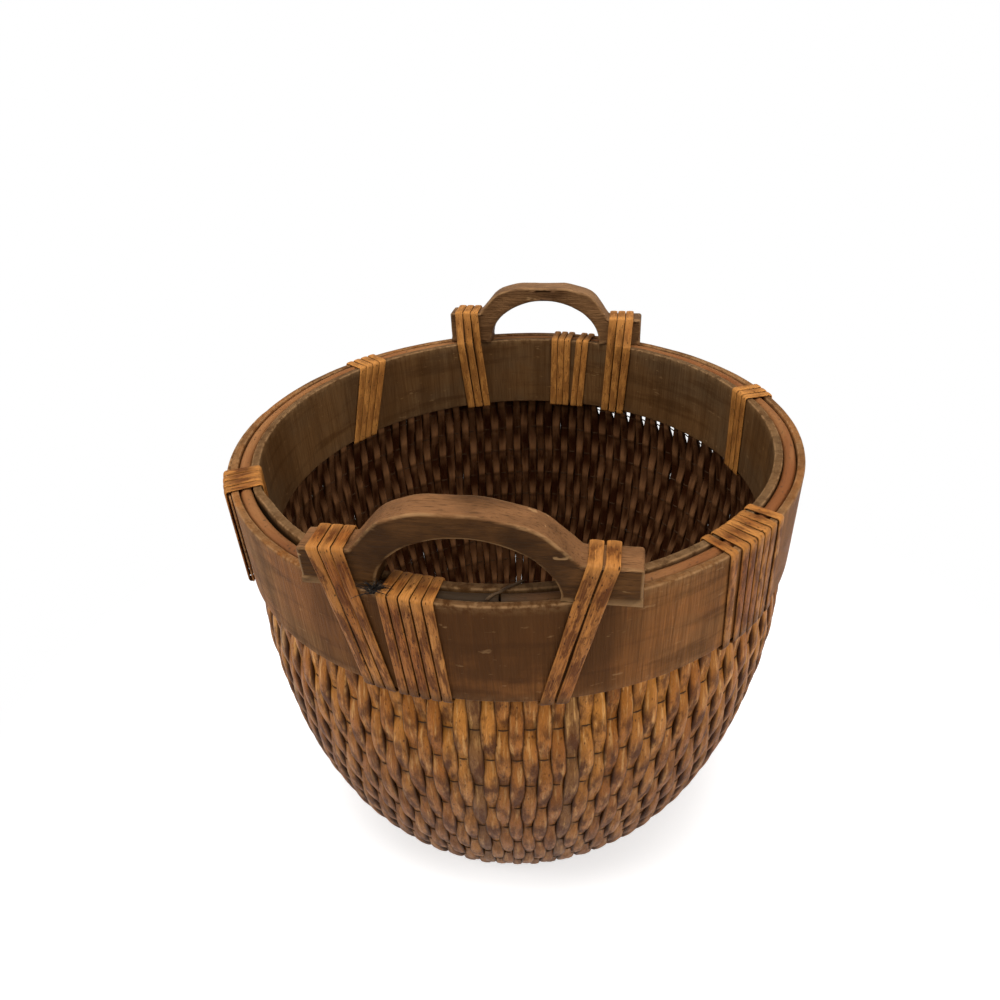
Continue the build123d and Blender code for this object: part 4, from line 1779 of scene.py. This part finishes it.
@dataclass
class HandleLashing:
    """Strip wound round the hoops and one foot of a handle."""

    name: str
    side: Side
    crest: float
    foot_out: float
    foot_in: float
    turns: int
    pitch: float
    wide: float
    foot: float = 25.0
    eave_share: float = 0.74
    inner_eave_share: float = 0.26
    levels: RimLevels = field(default_factory=RimLevels)

    def corners(self) -> list[tuple[Vector, Vector]]:
        """Corners of the strip's path from its first tucked end to its last."""
        rim = self.levels
        sign = self.side.value
        high = rim.top + self.foot
        level = Vector((1.0, 0.0, 0.0))
        middle = (self.foot_out + self.foot_in) / 2.0
        reach = self.turns * self.pitch / 2.0
        path = [self._round(on_circle(rim.tuck, middle - reach, self.side, rim.tuck_high))]
        for turn in spread(0.0, self.pitch, self.turns):
            low = on_circle(rim.outside, self.foot_out + turn, self.side, rim.low_outside)
            eave = self._eave(turn)
            inner = on_circle(rim.inside, self.foot_in + turn, self.side, rim.low_inside)
            path += [
                self._round(low),
                self._round(clear_of_hoop((low + eave) / 2.0, rim.outside)),
                (eave, level),
                (Vector((self.crest + turn, sign * rim.far, high)), level),
                (Vector((self.crest + turn, sign * rim.near, high)), level),
                (self._inner_eave(turn), level),
                self._round(inner),
            ]
        path.append(self._round(on_circle(rim.tuck, middle + reach, self.side, rim.tuck_high)))
        return path

    def _round(self, place: Vector) -> tuple[Vector, Vector]:
        """Corner whose strip lies round the hoop."""
        return place, tangent(place) * -self.side.value

    def _eave(self, turn: float) -> Vector:
        """Where a turn leaves the hoop's outside for the handle's face."""
        x = self.foot_out + (self.crest - self.foot_out) * self.eave_share + turn
        edge = abs(x) - self.wide / 2.0
        out = max(self.levels.far, math.sqrt(self.levels.outside ** 2 - edge ** 2) + 0.05)
        return Vector((x, self.side.value * out, self.levels.hoop_top))

    def _inner_eave(self, turn: float) -> Vector:
        """Where a turn leaves the handle's near face for the inner hoop."""
        x = self.crest + (self.foot_in - self.crest) * self.inner_eave_share + turn
        edge = abs(x) + self.wide / 2.0
        reach = min(self.levels.near, math.sqrt(self.levels.inside ** 2 - edge ** 2))
        return Vector((x, self.side.value * reach, self.levels.top))


@dataclass
class Lashings:
    """All the split-cane lashings of the rim; those at the back get painted light, a lighter
    tone and paler colour.
    """

    effects: SharedEffects
    back_painted_light_lift: float = 0.45
    rod_ring: float = 204.85
    rod_high: float = 360.5
    tie_loop: float = 5.1
    tie_wide: float = 1.9
    tie_thick: float = 0.9
    tie_bend: float = 0.8
    tie_over_rod: tuple[tuple[float, float], ...] = (
        (44.0, -85.4), (22.0, -84.9), (0.0, -84.3), (-22.0, -83.6)
    )
    tie_down_hoop: tuple[Triple, ...] = (
        (200.0, -82.6, 365.6), (193.4, -79.8, 365.6), (193.4, -78.8, 349.0)
    )

    def windings(self) -> list[HoopLashing | HandleLashing]:
        """Every lashing with its bearings or places, turns, pitch and strip width."""
        front, back = Side.FRONT, Side.BACK
        return [
            HoopLashing("lashing_left", -151.5, -151.5, -151.0, 4, 2.25, 7.4, proud=2.7),
            HoopLashing("lashing_back_left", 142.5, 144.0, 149.0, 4, 2.2, 6.9),
            HoopLashing("lashing_back_centre_left", 84.4, 84.4, 85.0, 3, 1.95, 6.1),
            HoopLashing("lashing_back_centre_right", 78.0, 78.5, 79.6, 2, 1.95, 6.1),
            HoopLashing("lashing_right_back", 22.5, 22.5, 21.5, 3, 2.3, 7.0),
            HoopLashing("lashing_right_front", -38.0, -36.5, -38.0, 7, 2.05, 6.6, apart=0.7),
            HoopLashing("lashing_front_centre", -97.6, -96.2, -97.0, 5, -1.88, 6.3),
            HandleLashing(
                "lashing_front_handle_left", front, -73.4, -53.2, -54.5, 3, -7.6, 7.1
            ),
            HandleLashing("lashing_front_handle_right", front, 79.6, 53.4, 60.0, 2, 9.4, 8.2),
            HandleLashing(
                "lashing_back_handle_left", back, -73.8, -66.0, -66.5, 3, -7.8, 7.3, foot=29.5
            ),
            HandleLashing("lashing_back_handle_right", back, 77.4, 70.0, 72.0, 3, 7.8, 7.3),
        ]

    def build(self) -> None:
        """Make every lashing, and the thin tie over the rod's joint."""
        finish = CaneFinish("split_cane", self.effects).build()
        for number, winding in enumerate(self.windings()):
            places = winding.corners()
            # The back lashings get painted light.
            painted_light_lift = self.back_painted_light_lift if places[0][0].y > 0.0 else 0.0
            strip = Ribbon(places, winding.wide, painted_light_lift=painted_light_lift)
            self._wind(winding.name, strip, number * 1.7 + 0.4, finish)
        dark = CaneFinish(
            "blackened_cane", self.effects, pale=(0.120, 0.070, 0.034),
            tan=(0.060, 0.032, 0.015), brown=(0.030, 0.015, 0.007),
        ).build()
        tie = Ribbon(self._tie_corners(), self.tie_wide, self.tie_thick, self.tie_bend)
        self._wind("rim_rod_tie", tie, 33.0, dark)

    @staticmethod
    def _wind(node: str, strip: Ribbon, seed: float, finish: bpy.types.Material) -> None:
        """Make one strip into the piece that stands for a CAD node."""
        maker = MeshMaker(("tone", "rubbed", "shade"), ("strip_place",))
        strip.add_to(maker, seed)
        maker.finish(f"{node}_cane", finish, Slot.LASHING, node)

    def _tie_corners(self) -> list[tuple[Vector, Vector]]:
        """Corners of the thin loop over the rod's butt joint and down the inner hoop."""
        places = []
        for lean, bearing in self.tie_over_rod:
            angle = math.radians(lean)
            places.append(polar(self.rod_ring + self.tie_loop * math.sin(angle), bearing,
                                self.rod_high + self.tie_loop * math.cos(angle)))
        places += [polar(*corner) for corner in self.tie_down_hoop]
        return [(place, tangent(place)) for place in places]


@dataclass
class FibreTuft:
    """Loose dark fibre caught between the front handle's left leg and the lashing beside it."""

    effects: SharedEffects
    root: Triple = (-46.5, -208.5, 365.5)
    strands: int = 46
    sides: int = 5
    radius: float = 0.34
    taper: float = 0.6
    stations: int = 8
    lengths: tuple[float, float] = (5.0, 11.0)
    starts: tuple[tuple[float, float], ...] = ((-2.5, 2.5), (-3.0, 3.0))
    ways: tuple[tuple[float, float], ...] = ((-0.7, 0.9), (-0.5, 0.5), (0.3, 1.1))
    curls: tuple[tuple[float, float], ...] = ((-0.6, 0.6), (-0.3, 0.3))
    droop: float = -0.3

    def build(self) -> None:
        """Curl thin strands out of the corner, each from the top of the outer hoop."""
        chance = random.Random(7)
        maker = MeshMaker(())

        def draw(ranges: Iterable[tuple[float, float]]) -> list[float]:
            return [chance.uniform(*limits) for limits in ranges]

        for _ in range(self.strands):
            start = Vector(self.root) + Vector((*draw(self.starts), 0.0))
            way = Vector(draw(self.ways)).normalized()
            curl = Vector((*draw(self.curls), self.droop))
            verts = maker.tube(self.sides, self.stations)
            self._curl(verts, start, way, curl, chance.uniform(*self.lengths))
        finish = FibreFinish("loose_fibre", self.effects).build()
        maker.finish("loose_fibre_tuft", finish, Slot.LASHING)

    def _curl(self, verts: list[Vert], start: Vector, way: Vector, curl: Vector,
              length: float) -> None:
        """Bend one straight strand along its curl."""
        side = way.orthogonal().normalized()
        up = way.cross(side)
        for vert in verts:
            share = vert.co.z / (self.stations - 1)
            around = (side * vert.co.x + up * vert.co.y) * self.radius
            around *= 1.0 - self.taper * share
            vert.co = start + (way * share + curl * share * share) * length + around


@dataclass
class Studio:
    """Pale floor, soft lights and the camera."""

    eye: Triple = (0.08688, -0.50842, 0.62384)
    right: Triple = (0.9850633, 0.16635892, -0.04444105)
    up: Triple = (-0.05215382, 0.53421502, 0.84373828)
    ahead: Triple = (-0.16410447, 0.82881785, -0.53491187)
    lens: float = 26.33
    film: float = 36.0
    floor_half: float = 12.0
    floor_paint: Colour = (0.92, 0.92, 0.92)
    floor_lift: float = 0.45
    floor_white: Fade = Fade(0.22, 0.60)
    sky_light: float = 0.36
    aim: Triple = (0.0, 0.0, 0.25)
    lamps: tuple[tuple[str, Triple, float, float], ...] = (
        ("window_left", (-1.5, -0.8, 1.35), 0.9, 15.0),
        ("window_right", (1.6, -0.6, 1.2), 0.9, 15.0),
        ("ceiling", (0.0, -0.3, 2.2), 1.2, 30.0),
    )

    def build(self) -> None:
        """Set up the whole studio."""
        self._camera()
        self._floor()
        self._world()
        for name, place, size, power in self.lamps:
            self._lamp(name, place, size, power)
        bpy.context.scene.view_settings.view_transform = "Standard"

    def _camera(self) -> None:
        """Place the camera at the photograph's viewing angle."""
        data = bpy.data.cameras.new("view")
        data.lens = self.lens
        data.sensor_width = self.film
        turn = Matrix((self.right, self.up, tuple(-part for part in self.ahead))).transposed()
        bpy.context.scene.camera = hang("view", data, self.eye, turn)

    def _floor(self) -> None:
        """Lay a wide white floor that keeps the basket's shadow."""
        bm = bmesh.new()
        bmesh.ops.create_grid(bm, x_segments=2, y_segments=2, size=self.floor_half)
        mesh = keep_mesh(bm, "floor")
        material = bpy.data.materials.new("white_floor")
        graph = empty_graph(material)
        paint = graph.add(
            "ShaderNodeBsdfDiffuse", {"Color": self.floor_paint, "Roughness": 0.0}
        )
        seen = graph.add("ShaderNodeLightPath").outputs["Is Camera Ray"]
        glow = graph.add("ShaderNodeEmission", {"Strength": graph.times(seen, self.floor_lift)})
        near = graph.add("ShaderNodeAddShader", {0: paint.outputs[0], 1: glow.outputs[0]})
        reach = graph.add("ShaderNodeVectorMath", {0: graph.place()}, operation="LENGTH")
        away = graph.times(seen, graph.rise(reach.outputs["Value"], self.floor_white))
        white = graph.add("ShaderNodeEmission").outputs[0]
        far = graph.add("ShaderNodeMixShader", {0: away, 1: near.outputs[0], 2: white})
        graph.add("ShaderNodeOutputMaterial", {"Surface": far.outputs[0]})
        mesh.materials.append(material)
        floor = hang("floor", mesh)

    def _world(self) -> None:
        """Light softly from all round, and show white to the camera."""
        world = bpy.data.worlds.new("studio_world")
        graph = empty_graph(world)
        seen = graph.add("ShaderNodeLightPath").outputs["Is Camera Ray"]
        inputs = {"Value": seen, "From Max": 1.0, "To Min": self.sky_light, "To Max": 1.0}
        strength = graph.add("ShaderNodeMapRange", inputs).outputs["Result"]
        back = graph.add("ShaderNodeBackground", {"Color": EVEN, "Strength": strength})
        graph.add("ShaderNodeOutputWorld", {"Surface": back.outputs[0]})
        bpy.context.scene.world = world

    def _lamp(self, name: str, place: Triple, size: float, power: float) -> None:
        """Hang a square soft light that faces the basket."""
        data = bpy.data.lights.new(name, "AREA")
        data.size = size
        data.energy = power
        toward = Vector(self.aim) - Vector(place)
        hang(name, data, place, toward.to_track_quat("-Z", "Y").to_matrix())


def main() -> None:
    """Build the basket from the wall up, then the studio."""
    logging.basicConfig(level=logging.INFO, format="%(name)s: %(message)s")
    effects = SharedEffects()
    WovenWall(effects).build()
    outer = HoopFinish("outer_hoop_wood", effects, gloss=0.04)
    inner = HoopFinish(
        "inner_hoop_wood", effects, gloss=0.04, base=(0.170, 0.082, 0.029),
        grey=(0.140, 0.082, 0.038), stain_reach=0.05,
    )
    OuterHoop(
        "outer_hoop_band", 209.5, 215.0, 291.0, 365.0, Slot.OUTER_HOOP, "outer_hoop"
    ).build(outer.build())
    InnerHoop(
        "inner_hoop_band", 194.0, 200.0, 297.0, 365.0, Slot.INNER_HOOP, "inner_hoop"
    ).build(inner.build())
    RimRod(effects).build()
    dark_wood = HandleFinish("front_handle_wood", effects, gloss=0.06)
    light_wood = HandleFinish(
        "back_handle_wood", effects, gloss=0.06, base=(0.250, 0.122, 0.048),
        dark=(0.085, 0.038, 0.014), dusty=(0.280, 0.150, 0.070),
    )
    Handle(Side.FRONT, FRONT_OUTLINE, 5.0, 52.0, 36.0).build(
        dark_wood.build(), "handle_front_carved", "handle_front"
    )
    Handle(Side.BACK, BACK_OUTLINE, 3.0, 53.5, 41.5).build(
        light_wood.build(), "handle_back_carved", "handle_back"
    )
    Lashings(effects).build()
    FibreTuft(effects).build()
    Studio().build()


if __name__ == "__main__":
    main()
